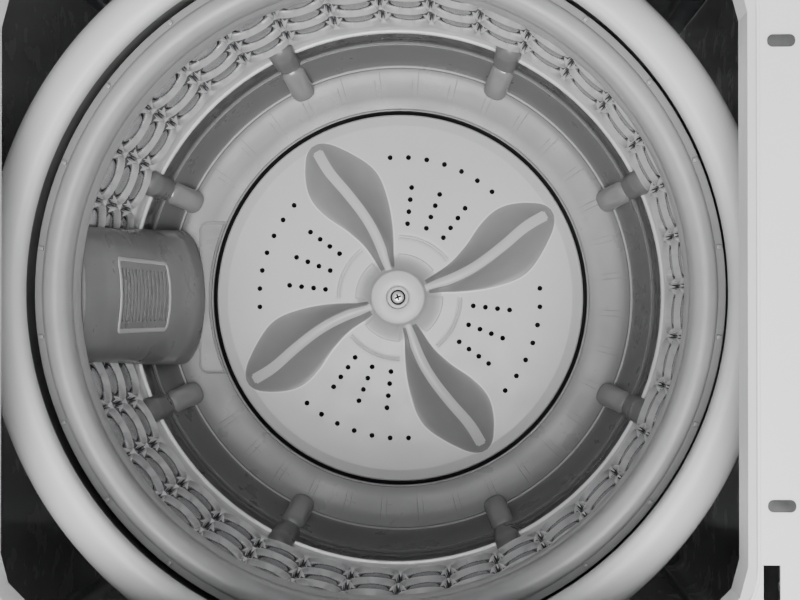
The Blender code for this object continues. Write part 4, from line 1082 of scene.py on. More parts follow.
def make_tub_cover():
    """The light ring that covers the gap between tub and basket: a rounded crown and an inner bead."""
    low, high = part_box("tub_cover")
    top, base = high.z, low.z
    outer = (high.x - low.x) / 2
    profile = [
        (0.2750, 0.8062), (0.2900, 0.8062), (0.2900, base), (outer - 0.0004, base), (outer, base + 0.0006),
        (outer, base + 0.0140), (outer - 0.0008, base + 0.0190), (outer - 0.0035, top - 0.0110),
        (0.2850, top - 0.0052), (0.2790, top - 0.0018), (0.2720, top - 0.0002), (0.2660, top - 0.0004),
        (0.2618, top - 0.0018), (0.2596, top - 0.0044), (0.2589, top - 0.0080), (0.2588, top - 0.0150),
        (0.2592, top - 0.0160), (0.2606, top - 0.0160), (0.2612, top - 0.0140), (0.2618, top - 0.0085),
        (0.2660, top - 0.0040), (0.2720, top - 0.0034), (0.2745, top - 0.0050), (0.2750, top - 0.0100),
    ]
    turned("tub_cover_moulding", profile, "tub", "cover_plastic", ("tub_cover",), count=256, sharp=40)


# ---------------------------------------------------------------- tub and suspension


def make_outer_tub():
    """Hoops and upright ribs on the tub's outside, ribs under its floor, and the cover's screws."""
    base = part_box("outer_tub")[0].z
    parts = []
    for z in (0.335, 0.400, 0.520, 0.585, 0.650, 0.715, 0.780):
        profile = [
            (0.2785, z - 0.0022), (0.2830, z - 0.0014), (0.2834, z), (0.2830, z + 0.0014),
            (0.2785, z + 0.0022),
        ]
        parts.append(bridge([ring_points(radius, height, CENTRE, 160) for radius, height in profile], True))
    parts += round_axis(pad((0.2780, -0.0013), (0.2826, 0.0013), 0.0010, 0.312, 0.797, 0.0010, 3), 24)
    under = pad((0.1250, -0.0014), (0.2640, 0.0014), 0.0010, base + 0.0095, base + 0.0215, 0.0006, 3)
    parts += round_axis(under, 12, 0.25)
    piece("tub_ribs", *merged(parts), "tub", "tub_plastic", sharp=30)
    head = rounded_profile([(0.0, 0.0), (0.0036, 0.0), (0.0036, 0.0026), (0.0, 0.0026)], 0.0008, 3)
    rings = [ring_points(max(radius, 0.0001), 0.8062 + height, (0.2870, 0.0), 12) for radius, height in head]
    piece("cover_screws", *merged(round_axis(bridge(rings, True), 12)), "tub", "zinc_steel", sharp=40)


def coil(turns, radius, wire, low, high, centre, round_steps=24, section_steps=10, flat_turns=0.75):
    """A wire coil with closed ends."""
    steps = int(turns * round_steps)
    sections = []
    for step in range(steps + 1):
        t = step / steps
        angle = TAU * turns * t
        outward = Vector((math.cos(angle), math.sin(angle), 0.0))
        flat = flat_turns / turns
        rise = min(max((t - flat) / (1 - 2 * flat), 0.0), 1.0)
        lift = wire * 2.05 * (min(t, flat) + max(0.0, t - 1 + flat)) * turns
        z = low + wire + lift + (high - low - 2 * wire - 2.05 * wire * 2 * flat_turns) * rise
        middle = Vector((centre[0], centre[1], z)) + outward * radius
        sections.append([
            middle + (outward * math.cos(a) + Vector((0, 0, math.sin(a)))) * wire
            for a in (TAU * side / section_steps for side in range(section_steps))
        ])
    return capped(sections)


def make_suspension():
    """Rods with forged heads, spring seats with a damper cup, and coil springs."""
    for number in range(1, 5):
        low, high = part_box(f"suspension_spring_{number}")
        x, y = centre_of(f"suspension_spring_{number}")
        points, faces = coil(7, 0.0122, 0.00155, low.z, high.z, (x, y))
        name = f"spring_coil_{number}"
        obj = piece(name, points, faces, "cabinet", "zinc_steel", (f"suspension_spring_{number}",), sharp=50)
        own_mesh(obj)
        rod_low, rod_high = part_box(f"suspension_rod_{number}")
        seat, head = low.z - 0.0003, rod_high.z
        profile = [
            (0.0010, rod_low.z), (0.0085, rod_low.z), (0.0100, rod_low.z + 0.0010), (0.0150, seat - 0.0075),
            (0.0168, seat - 0.0060), (0.0170, seat - 0.0050), (0.0170, seat - 0.0008), (0.0164, seat),
            (0.0152, seat), (0.0148, seat - 0.0010), (0.0060, seat - 0.0010), (0.0058, seat), (0.0034, seat),
            (0.0034, head - 0.0130), (0.0040, head - 0.0112), (0.0084, head - 0.0108),
            (0.0090, head - 0.0100), (0.0090, head - 0.0060), (0.0082, head - 0.0040),
            (0.0060, head - 0.0010), (0.0030, head), (0.0010, head),
        ]
        turned(
            f"suspension_rod_turned_{number}", profile, "cabinet", "zinc_steel",
            (f"suspension_rod_{number}",), centre=(x, y), count=32, sharp=40,
        )


# ---------------------------------------------------------------- drive


BELT_Z = 0.1255  # middle of both pulleys' rims


def make_motor():
    """An open frame motor: two end bells with windows, the laminated stator, windings and through bolts."""
    low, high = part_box("motor")
    x, y = (low.x + high.x) / 2, (low.y + high.y) / 2
    radius = (high.x - low.x) / 2
    bottom, top = low.z, high.z
    lower = [
        (0.0072, bottom), (0.0380, bottom), (0.0420, bottom + 0.0015), (radius - 0.004, bottom + 0.0100),
        (radius, bottom + 0.0140), (radius, bottom + 0.0330), (radius - 0.003, bottom + 0.0330),
        (radius - 0.003, bottom + 0.0150), (radius - 0.006, bottom + 0.0120), (0.0400, bottom + 0.0040),
        (0.0072, bottom + 0.0035),
    ]
    upper = [(r, top + bottom - z) for r, z in reversed(lower)]
    for number, profile in enumerate((lower, upper), start=1):
        bell = turned(
            f"motor_bell_{number}", profile, "tub", "cast_aluminium", centre=(x, y), count=72, sharp=35,
        )
        middle = profile[3][1] if number == 1 else profile[-4][1]
        window = capped(
            [rectangle((0.030, -0.0085), (0.075, 0.0085), 0.004, z, 4) for z in (-0.0055, 0.0055)]
        )
        cut(bell, round_axis(window, 8, centre=(x, y, middle)), sharp=35)
    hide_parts("motor")
    sheets = []
    half = radius - 0.002
    pitch = (top - bottom - 0.068) / 20
    thick = pitch * 0.44
    for step in range(20):
        z = bottom + 0.0340 + pitch * (step + 0.5)
        sheet = pad((-half, -half), (half, half), 0.030, z - thick, z + thick, 0.0002, 6)
        sheets.append(placed(sheet, Matrix.Translation((x, y, 0))))
    piece("motor_laminations", *merged(sheets), "tub", "motor_paint", sharp=30)
    parts = []
    winding = pad((0.0300, -0.0105), (0.0480, 0.0105), 0.007, -0.0085, 0.0085, 0.0035, 6)
    for z in (bottom + 0.022, top - 0.022):
        parts += round_axis(winding, 12, 0.0, (x, y, z))
    piece("motor_windings", *merged(parts), "tub", "copper", sharp=50)
    bolts = []
    profile = [
        (0.0040, bottom + 0.0110), (0.0040, bottom + 0.0145), (0.0022, bottom + 0.0150),
        (0.0022, top - 0.0150), (0.0040, top - 0.0145), (0.0040, top - 0.0110),
    ]
    for step in range(4):
        angle = TAU * (step + 0.5) / 4
        at = at_angle(radius - 0.007, angle, (x, y))
        bolts.append(capped([ring_points(r, z, at, 6) for r, z in profile]))
    piece("motor_bolts", *merged(bolts), "tub", "zinc_steel", sharp=30)


def grooved_rim(radius, z, half, lip, grooves=5, depth=0.0006):
    """Profile of a pulley's rim with fine grooves for a ribbed belt, going up."""
    profile = [(radius + lip, z - half - 0.002), (radius + lip, z - half - 0.0004), (radius, z - half)]
    for groove in range(grooves):
        start = z - half + 2 * half * groove / grooves
        pitch = 2 * half / grooves
        profile += [(radius - 0.0001, start + pitch * 0.2), (radius - depth, start + pitch * 0.5)]
        profile += [(radius - 0.0001, start + pitch * 0.8)]
    return profile + [(radius, z + half), (radius + lip, z + half + 0.0004), (radius + lip, z + half + 0.002)]


def make_drive_pulley():
    """The large cast pulley: a grooved rim, a web with round windows and a hub with a nut."""
    low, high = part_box("drive_pulley")
    rim = (high.x - low.x) / 2 - 0.004
    z = BELT_Z
    profile = [
        (0.0096, low.z), (0.0192, low.z), (0.0200, low.z + 0.0010), (0.0205, z - 0.0030),
        (rim - 0.0090, z - 0.0030), (rim - 0.0080, z - 0.0040), (rim - 0.0080, z - 0.0090),
    ]
    profile += grooved_rim(rim, z, 0.0065, 0.004)
    profile += [(rim - 0.0080, z + 0.0090), (rim - 0.0080, z + 0.0040), (rim - 0.0090, z + 0.0030)]
    profile += [(0.0205, z + 0.0030), (0.0200, high.z - 0.0010), (0.0192, high.z), (0.0096, high.z)]
    obj = turned(
        "drive_pulley_cast", profile, "impeller", "cast_aluminium", ("drive_pulley",), count=128, sharp=32,
    )
    holes = []
    for step in range(6):
        angle = TAU * step / 6
        at = at_angle(0.0430, angle)
        holes.append(capped([ring_points(0.0135, height, at, 32) for height in (z - 0.01, z + 0.01)]))
    cut(obj, holes)
    shaft_low, shaft_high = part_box("drive_shaft")
    profile = [
        (0.0010, shaft_low.z), (0.0078, shaft_low.z), (0.0090, shaft_low.z + 0.0012),
        (0.0090, shaft_high.z - 0.0006), (0.0084, shaft_high.z), (0.0034, shaft_high.z), (0.0034, 0.3530),
        (0.0010, 0.3530),
    ]
    turned("drive_shaft_turned", profile, "impeller", "zinc_steel", ("drive_shaft",), count=48, sharp=35)


def make_motor_pulley():
    """The small grooved pulley on the motor's shaft."""
    low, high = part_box("motor_pulley")
    centre = centre_of("motor_pulley")
    z = BELT_Z
    profile = [
        (0.0010, low.z), (0.0180, low.z), (0.0190, low.z + 0.0008), *grooved_rim(0.022, z, 0.0065, 0.004),
        (0.0110, z + 0.0102), (0.0100, z + 0.0110), (0.0095, z + 0.0150), (0.0062, z + 0.0160),
        (0.0060, z + 0.0170), (0.0060, high.z - 0.0010), (0.0052, high.z), (0.0010, high.z),
    ]
    turned(
        "motor_pulley_turned", profile, "motor_pulley", "zinc_steel", ("motor_pulley",), centre=centre,
        count=64,
    )


def make_belt():
    """A ribbed belt round the two pulleys."""
    low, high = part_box("drive_belt")
    large, small, span = 0.075, 0.022, 0.178
    lean = math.asin((large - small) / span)
    z = (low.z + high.z) / 2
    profile = [
        (0.0012, -0.0044), (0.0046, -0.0045), (0.0050, -0.0041), (0.0050, 0.0041), (0.0046, 0.0045),
        (0.0012, 0.0044),
    ]
    for rib in range(4):
        at = 0.0033 - 0.0022 * rib
        profile += [(0.0005, at + 0.0004), (0.0005, at - 0.0004), (0.0012, at - 0.0011)]
    sections = []
    for offset, height in profile:
        points = []
        for radius, centre, first, last in (
            (small, span, lean, math.pi - lean), (large, 0.0, math.pi - lean, TAU + lean),
        ):
            for step in range(49):
                angle = first + (last - first) * step / 48
                reach = radius + offset
                points.append((*at_angle(reach, angle, (CENTRE.x, CENTRE.y + centre)), z + height))
        sections.append(points)
    piece("ribbed_belt", *bridge(sections, True), "tub", "rubber", ("drive_belt",), sharp=40)


def make_clutch():
    """Cooling ribs and flange bolts on the gearcase, and ribs on the hub above it."""
    rib = pad((0.0560, -0.0016), (0.0660, 0.0016), 0.0012, 0.158, 0.286, 0.0010, 3)
    piece("gearcase_ribs", *merged(round_axis(rib, 12)), "tub", "cast_aluminium", sharp=30)
    bolts = []
    for step in range(6):
        angle = TAU * (step + 0.25) / 6
        at = at_angle(0.094, angle)
        bolts.append(capped([ring_points(0.0095, z, at, 24) for z in (0.2915, 0.2870)]))
        head = ((0.0060, 0.2868), (0.0060, 0.2815), (0.0052, 0.2808))
        bolts.append(capped([ring_points(r, z, at, 6) for r, z in head]))
    piece("gearcase_bolts", *merged(bolts), "tub", "zinc_steel", sharp=30)
    rib = pad((0.0215, -0.0028), (0.1240, 0.0028), 0.0020, 0.3330, 0.3446, 0.0008, 3)
    piece("hub_ribs", *merged(round_axis(rib, 6)), "basket", "cast_aluminium", sharp=30)


# ---------------------------------------------------------------- small parts shared by the shell


DECK_Z = 0.940
BACK_Y = 0.327
SIDE_X = 0.343
FRONT_Y = -0.345
HINGE = Vector((0.0, 0.228, 0.952))
LID_PLACE = Matrix.Translation(HINGE) @ Matrix.Rotation(math.radians(-96), 4, "X")
FACE_TILT = math.radians(15.11)
FACE_PLACE = Matrix.Translation((0.0, 0.250, 0.9405)) @ Matrix.Rotation(math.pi / 2 - FACE_TILT, 4, "X")


def aimed(direction, origin):
    """A place whose Z runs along the direction."""
    return Matrix.Translation(origin) @ Vector(direction).to_track_quat("Z", "Y").to_matrix().to_4x4()


def lathe(profile, place, count=32):
    """Points and faces of a turned solid about the place's Z, from its axis out and back to it."""
    rings = [ring_points(max(radius, 0.00005), z, (0.0, 0.0), count) for radius, z in profile]
    return placed(capped(rings), place)


def hoop(profile, place, count=40):
    """Points and faces of a turned ring about the place's Z, from a closed profile."""
    return placed(bridge([ring_points(radius, z, (0.0, 0.0), count) for radius, z in profile], True), place)


def raised_border(low, high, radius, levels, place, steps=10):
    """A raised border round a rectangle, through (growth, z) levels, in place."""
    loops = []
    for grow, z in levels:
        corners = (low[0] - grow, low[1] - grow), (high[0] + grow, high[1] + grow)
        loops.append(rectangle(*corners, radius + grow, z, steps))
    return placed(bridge(loops, True), place)


def blocks(name, shapes, body, slot, place=Matrix(), replaces=(), radius=0.001, edge=0.0004):
    """Several rounded blocks as one piece, each from its lowest to its highest corner."""
    parts = [pad(low[:2], high[:2], radius, low[2], high[2], edge, 4) for low, high in shapes]
    piece(name, *placed(merged(parts), place), body, slot, replaces, sharp=35)


def screws(name, places, body, slot="zinc_steel", head=0.0040):
    """Pan head screws with a cross recess, at (origin, outward direction) places."""
    parts = []
    for origin, direction in places:
        rings = []
        for radius, z in ((head, -0.0010), (head, 0.0008), (head * 0.88, 0.0016), (head * 0.55, 0.0022)):
            rings.append(ring_points(radius, z, (0.0, 0.0), 32))
        for z in (0.0022, 0.0009):
            turns = [TAU * step / 32 for step in range(32)]
            reach = [head * (0.14 + 0.32 * abs(math.cos(2 * a)) ** 4) for a in turns]
            rings.append([(*at_angle(r, a, (0.0, 0.0)), z) for r, a in zip(reach, turns)])
        parts.append(placed(capped(rings), aimed(direction, origin)))
    piece(name, *merged(parts), body, slot, sharp=40)


def spline(route, steps=16):
    """Points of a smooth curve through the route."""
    route = [Vector(point) for point in route]
    padded = [route[0] * 2 - route[1], *route, route[-1] * 2 - route[-2]]
    points = []
    for p0, p1, p2, p3 in zip(padded, padded[1:], padded[2:], padded[3:]):
        for step in range(steps):
            t = step / steps
            curve = p1 * 2 + (p2 - p0) * t + (p0 * 2 - p1 * 5 + p2 * 4 - p3) * t**2
            points.append((curve + (p1 * 3 - p0 - p2 * 3 + p3) * t**3) / 2)
    return [*points, route[-1]]


def tube(name, route, radius, body, slot, replaces=(), ripple=0.0, pitch=0.008, around=20):
    """A hose along a smooth curve, rippled if it is a corrugated one."""
    curve = np.array(spline(route))
    along = np.concatenate([[0.0], np.cumsum(np.linalg.norm(np.diff(curve, axis=0), axis=1))])
    count = int(along[-1] / (pitch / 5 if ripple else 0.004))
    at = np.linspace(0.0, along[-1], count + 1)
    middle = np.stack([np.interp(at, along, curve[:, axis]) for axis in range(3)], 1)
    side = Vector(middle[1] - middle[0]).orthogonal().normalized()
    sections = []
    for index in range(count + 1):
        ahead = Vector(middle[min(index + 1, count)] - middle[max(index - 1, 0)]).normalized()
        side = (side - ahead * side.dot(ahead)).normalized()
        beside = ahead.cross(side)
        end = min(at[index], along[-1] - at[index]) < 0.022
        reach = radius - (0.0 if end else ripple * (0.5 - 0.5 * math.cos(TAU * at[index] / pitch)))
        turns = [TAU * step / around for step in range(around)]
        centre = Vector(middle[index])
        sections.append([centre + (side * math.cos(a) + beside * math.sin(a)) * reach for a in turns])
    return piece(name, *capped(sections), body, slot, replaces, sharp=45)


def clamps(name, places, body):
    """Worm drive hose clamps at (place, radius): a band, its housing and the screw."""
    parts = []
    for place, radius in places:
        band = [(radius, -0.0040), (radius + 0.0007, -0.0040), (radius + 0.0007, 0.0040), (radius, 0.0040)]
        parts.append(hoop(band, place, 48))
        housing = pad(
            (radius + 0.0002, -0.0050), (radius + 0.0050, 0.0050), 0.0015, -0.0042, 0.0042, 0.0006, 4,
        )
        parts.append(placed(housing, place))
        screw = place @ aimed((0, 1, 0), (radius + 0.0026, 0.0048, 0.0))
        head = [(0.0, 0.0), (0.0030, 0.0), (0.0030, 0.0030), (0.0024, 0.0036), (0.0, 0.0036)]
        parts.append(lathe(head, screw, 6))
    piece(name, *merged(parts), body, "zinc_steel", sharp=35)


def thread(radius, low, high, pitch=0.0018, depth=0.0007):
    """Profile of a threaded stretch."""
    profile = []
    count = int((high - low) / pitch)
    for step in range(count):
        z = low + pitch * step
        profile += [
            (radius - depth, z), (radius - depth, z + pitch * 0.2), (radius, z + pitch * 0.5),
            (radius, z + pitch * 0.7),
        ]
    return profile


# ---------------------------------------------------------------- cabinet


def inside_panel(u, v, low, high, radius=0.028, slope=0.009):
    """1 inside a rectangle with round corners, 0 outside it, with a soft step between."""
    half_u, half_v = (high[0] - low[0]) / 2, (high[1] - low[1]) / 2
    over_u = np.abs(u - (low[0] + high[0]) / 2) - half_u + radius
    over_v = np.abs(v - (low[1] + high[1]) / 2) - half_v + radius
    past_corner = np.hypot(np.maximum(over_u, 0), np.maximum(over_v, 0))
    beyond = past_corner + np.minimum(np.maximum(over_u, over_v), 0) - radius
    return smoothstep(0.0, slope, -beyond)


def pressed_sheet(name, path, heights, pressed, body, slot, replaces, closed=False):
    """A thin sheet on a level path of (x, y, outward x, outward y), pressed in by pressed(x, y, nx, z)."""
    path = np.array(path)
    x, z = np.meshgrid(path[:, 0], heights, indexing="ij")
    y, nx = (np.broadcast_to(path[:, column][:, None], x.shape) for column in (1, 2))
    ny = np.broadcast_to(path[:, 3][:, None], x.shape)
    depth = pressed(x, y, nx, z)
    layers = []
    for offset in (0.0, 0.0011):
        reach = depth + offset
        layers.append(np.stack([x - nx * reach, y - ny * reach, z], 2))
    columns = []
    for index in range(len(path)):
        outer, inner = layers[0][index], layers[1][index]
        columns.append([tuple(point) for point in outer] + [tuple(point) for point in inner[::-1]])
    return piece(name, *bridge(columns, True) if closed else capped(columns), body, slot, replaces, sharp=28)


def straight(start, end, outward, step=0.010):
    count = max(2, int(math.dist(start, end) / step))
    return [
        (start[0] + (end[0] - start[0]) * i / count, start[1] + (end[1] - start[1]) * i / count, *outward)
        for i in range(1, count)
    ]


def corner_path(centre, radius, first, last, steps=10):
    turns = [math.radians(first + (last - first) * step / steps) for step in range(steps + 1)]
    outward = [(math.cos(a), math.sin(a)) for a in turns]
    return [(centre[0] + radius * x, centre[1] + radius * y, x, y) for x, y in outward]


def make_cabinet():
    """The bent steel sheet with pressed panels in its sides, a crease near its foot and hanger brackets."""
    low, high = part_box("cabinet_wrap")
    radius = 0.014
    path = [(SIDE_X, BACK_Y, 1.0, 0.0), *straight((SIDE_X, BACK_Y), (SIDE_X, FRONT_Y + radius), (1.0, 0.0))]
    path += corner_path((SIDE_X - radius, FRONT_Y + radius), radius, 0, -90)
    path += straight((SIDE_X - radius, FRONT_Y), (radius - SIDE_X, FRONT_Y), (0.0, -1.0))
    path += corner_path((radius - SIDE_X, FRONT_Y + radius), radius, -90, -180)
    path += [
        *straight((-SIDE_X, FRONT_Y + radius), (-SIDE_X, BACK_Y), (-1.0, 0.0)), (-SIDE_X, BACK_Y, -1.0, 0.0),
    ]
    heights = np.unique(np.concatenate([np.linspace(low.z, high.z, 80), np.linspace(0.090, 0.104, 8)]))

    def pressed(x, y, nx, z):
        side = inside_panel(y, z, (-0.275, 0.150), (0.262, 0.845)) * (np.abs(nx) > 0.999)
        return 0.0018 * side + 0.0012 * np.exp(-(((z - 0.097) / 0.0025) ** 2))

    pressed_sheet("cabinet_sheet", path, heights, pressed, "cabinet", "white_enamel", ("cabinet_wrap",))
    make_hangers()


def make_hangers():
    """A ribbed corner bracket under the deck for each suspension rod, with a round cup for its head."""
    plates, cups = [], []
    for number in range(1, 5):
        x, y = centre_of(f"suspension_rod_{number}")
        side = math.copysign(1.0, x)
        front = y < CENTRE.y
        wall_y = FRONT_Y + 0.0016 if front else BACK_Y - 0.0020
        inward = 1.0 if front else -1.0
        wall_x = side * (SIDE_X - 0.0016)
        outline = [
            (wall_x, wall_y), (wall_x, y + inward * 0.020), (x + side * 0.020, y + inward * 0.020),
            (x - side * 0.020, y), (x - side * 0.020, wall_y),
        ]
        if side * inward > 0:
            outline.reverse()
        shape = rounded_profile(outline, 0.006, 4)
        sections = [[(px, py, z) for px, py in shape] for z in (0.8950, 0.8990)]
        bracket = piece(f"rod_hanger_{number}", *capped(sections), "cabinet", "zinc_steel", sharp=35)
        cut(bracket, [lathe([(0.006, -0.02), (0.006, 0.02)], Matrix.Translation((x, y, 0.897)))], sharp=35)
        profile = [
            (0.0064, 0.8952), (0.0064, 0.8945), (0.0150, 0.8945), (0.0166, 0.8935), (0.0172, 0.8905),
            (0.0180, 0.8905), (0.0176, 0.8940), (0.0160, 0.8952),
        ]
        cups.append(hoop(profile, Matrix.Translation((x, y, 0.0))))
        for run in (-0.012, 0.012):
            corner_x = wall_x - side * 0.002
            ends = sorted((corner_x, x + side * 0.022))
            corners = (ends[0], y + run - 0.0008), (ends[1], y + run + 0.0008)
            plates.append(pad(*corners, 0.0006, 0.8850, 0.8952, 0.0004, 3))
    piece("hanger_cups", *merged(cups), "cabinet", "zinc_steel", sharp=35)
    piece("hanger_ribs", *merged(plates), "cabinet", "zinc_steel", sharp=35)


def make_rear_panel():
    """The back: pressed fields, one of them round a row of louvres, and screws round its edge."""
    low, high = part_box("rear_panel")
    path = [
        (high.x, high.y, 0.0, 1.0), *straight((high.x, high.y), (low.x, high.y), (0.0, 1.0)),
        (low.x, high.y, 0.0, 1.0),
    ]

    def pressed(x, y, nx, z):
        field = np.zeros_like(x)
        for bottom, top in ((0.270, 0.440), (0.480, 0.650), (0.690, 0.860)):
            field = np.maximum(field, inside_panel(x, z, (-0.270, bottom), (0.270, top)))
        rib = inside_panel(x, z, (-0.140, 0.090), (0.140, 0.230), 0.020)
        return 0.0035 * field + 0.0030 * rib

    heights = np.linspace(low.z, high.z, 90)
    panel = pressed_sheet("rear_sheet", path, heights, pressed, "cabinet", "zinc_steel", ("rear_panel",))
    tools = []
    for node, radius in (("drain_port", 0.0150), ("cord_gland", 0.0090)):
        box_low, box_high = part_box(node)
        place = aimed((0, 1, 0), ((box_low.x + box_high.x) / 2, BACK_Y - 0.012, (box_low.z + box_high.z) / 2))
        tools.append(lathe([(radius, 0.0), (radius, 0.03)], place))
    for row in range(7):
        z = 0.115 + 0.015 * row
        slot = rectangle((-0.110, z - 0.0022), (0.110, z + 0.0022), 0.0021, 0.0, 5)
        tools.append(capped([[(x, BACK_Y + y, height) for x, height, _ in slot] for y in (-0.012, 0.012)]))
    cut(panel, tools, sharp=28)
    places = [(x, z) for x in (-0.330, 0.330) for z in (0.055, 0.260, 0.470, 0.680, 0.900)]
    places += [(x, z) for z in (0.048, 0.906) for x in (-0.165, 0.0, 0.165)]
    screws("rear_screws", [((x, BACK_Y - 0.0024, z), (0, 1, 0)) for x, z in places], "cabinet")


def make_rear_ports():
    """The drain's barbed outlet and the cord's gland with its hexagonal nut."""
    for node in ("drain_port", "cord_gland"):
        low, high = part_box(node)
        place = aimed((0, 1, 0), ((low.x + high.x) / 2, BACK_Y, (low.z + high.z) / 2))
        if node == "drain_port":
            profile = [
                (0.0100, -0.0119), (0.0143, -0.0119), (0.0145, -0.0110), (0.0145, 0.0004), (0.0234, 0.0004),
                (0.0240, 0.0010), (0.0240, 0.0034), (0.0234, 0.0040), (0.0132, 0.0042), (0.0132, 0.0060),
                (0.0140, 0.0064), (0.0132, 0.0098), (0.0140, 0.0102), (0.0132, 0.0136), (0.0139, 0.0140),
                (0.0128, 0.0176), (0.0122, 0.0180), (0.0104, 0.0180), (0.0100, 0.0174),
            ]
        else:
            profile = [
                (0.0045, -0.0089), (0.0084, -0.0089), (0.0086, -0.0084), (0.0086, 0.0004), (0.0136, 0.0004),
                (0.0140, 0.0008), (0.0140, 0.0026), (0.0136, 0.0030), (0.0100, 0.0032), (0.0098, 0.0090),
                (0.0090, 0.0104), (0.0084, 0.0138), (0.0080, 0.0140), (0.0048, 0.0140), (0.0045, 0.0136),
            ]
        piece(f"{node}_moulding", *hoop(profile, place, 48), "cabinet", "dark_plastic", (node,), sharp=32)


def make_base_frame():
    """Corner gussets and weld nuts on the base frame, which itself stays."""
    centres = [centre_of(f"levelling_foot_{number}") for number in range(1, 5)]
    places = [Matrix.Translation((x, y, 0.0)) for x, y in centres]
    plate = pad((-0.0200, -0.0200), (0.0200, 0.0200), 0.005, 0.0340, 0.0356, 0.0004, 4)
    profile = ((0.0088, 0.0356), (0.0092, 0.0360), (0.0092, 0.0416), (0.0088, 0.0420))
    nut = capped([ring_points(radius, z, (0.0, 0.0), 6) for radius, z in profile])
    for name, shape in (("foot_plates", plate), ("foot_nuts", nut)):
        obj = piece(
            name, *merged([placed(shape, place) for place in places]), "cabinet", "zinc_steel", sharp=35,
        )
        cut(obj, [lathe([(0.0057, 0.02), (0.0057, 0.06)], place) for place in places], sharp=35)


def make_feet():
    """Ribbed rubber pads with a hexagonal collar and a threaded stem."""
    for number in range(1, 5):
        name = f"levelling_foot_{number}"
        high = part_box(name)[1]
        centre = centre_of(name)
        profile = [
            (0.0001, 0.0004), (0.0060, 0.0004), (0.0064, 0.0016), (0.0074, 0.0016), (0.0078, 0.0),
            (0.0140, 0.0), (0.0144, 0.0012), (0.0156, 0.0012), (0.0160, 0.0), (0.0208, 0.0), (0.0220, 0.0012),
            (0.0220, 0.0060), (0.0212, 0.0068), (0.0212, 0.0080), (0.0218, 0.0086), (0.0216, 0.0110),
            (0.0150, 0.0140), (0.0001, 0.0142),
        ]
        turned(
            f"{name}_pad", profile, name, "rubber", (name,), centre=centre, count=64, closed=False, sharp=35,
        )
        rings = [
            ring_points(r, z, centre, 6)
            for r, z in ((0.0096, 0.0142), (0.0102, 0.0146), (0.0102, 0.0176), (0.0096, 0.0180))
        ]
        piece(f"{name}_collar", *capped(rings), name, "zinc_steel", sharp=35)
        stem = [
            (0.0049, 0.0180), *thread(0.0050, 0.0184, high.z - 0.0016), (0.0042, high.z - 0.0004),
            (0.0036, high.z),
        ]
        turned(f"{name}_stem", stem, name, "zinc_steel", centre=centre, count=32, closed=False, sharp=35)


# ---------------------------------------------------------------- deck and lid


def make_deck_details():
    """A bead round the mouth, bumpers for the lid, a seam and screws at the front, and the hinge's bosses."""
    low, high = (-0.250, CENTRE.y - 0.220), (0.250, CENTRE.y + 0.220)
    levels = (
        (0.0045, -0.0006), (0.0048, 0.0003), (0.0054, 0.0007), (0.0064, 0.0007), (0.0070, 0.0003),
        (0.0073, -0.0006),
    )
    on_deck = Matrix.Translation((0.0, 0.0, DECK_Z))
    piece(
        "mouth_bead", *raised_border(low, high, 0.040, levels, on_deck, 14), "cabinet", "deck_plastic",
        sharp=35,
    )
    bumpers = [((x - 0.009, y - 0.004, DECK_Z - 0.0006), (x + 0.009, y + 0.004, DECK_Z + 0.0010))
               for x in (-0.2705, 0.2705) for y in (-0.150, 0.150)]
    blocks("lid_bumpers", bumpers, "cabinet", "rubber", radius=0.0035)
    places = [((x, -0.3400, DECK_Z - 0.0002), (0, 0, 1)) for x in (-0.325, 0.325)]
    screws("deck_screws", places, "cabinet", head=0.0034)
    seam = ((-0.325, -0.3446, 0.9249), (0.325, -0.3438, 0.9257))
    blocks("deck_seam", [seam], "cabinet", "deck_plastic", radius=0.0003, edge=0.0001)
    profile = [(0.0046, 0.0), (0.0046, 0.0006), (0.0064, 0.0006), (0.0068, 0.0003), (0.0068, 0.0)]
    bosses = []
    for side in (-1, 1):
        for end in (-1, 1):
            place = aimed((end, 0, 0), HINGE + Vector((side * 0.2335 + end * 0.0070, 0, 0)))
            bosses.append(hoop(profile, place))
    piece("hinge_bosses", *merged(bosses), "cabinet", "deck_plastic", sharp=35)


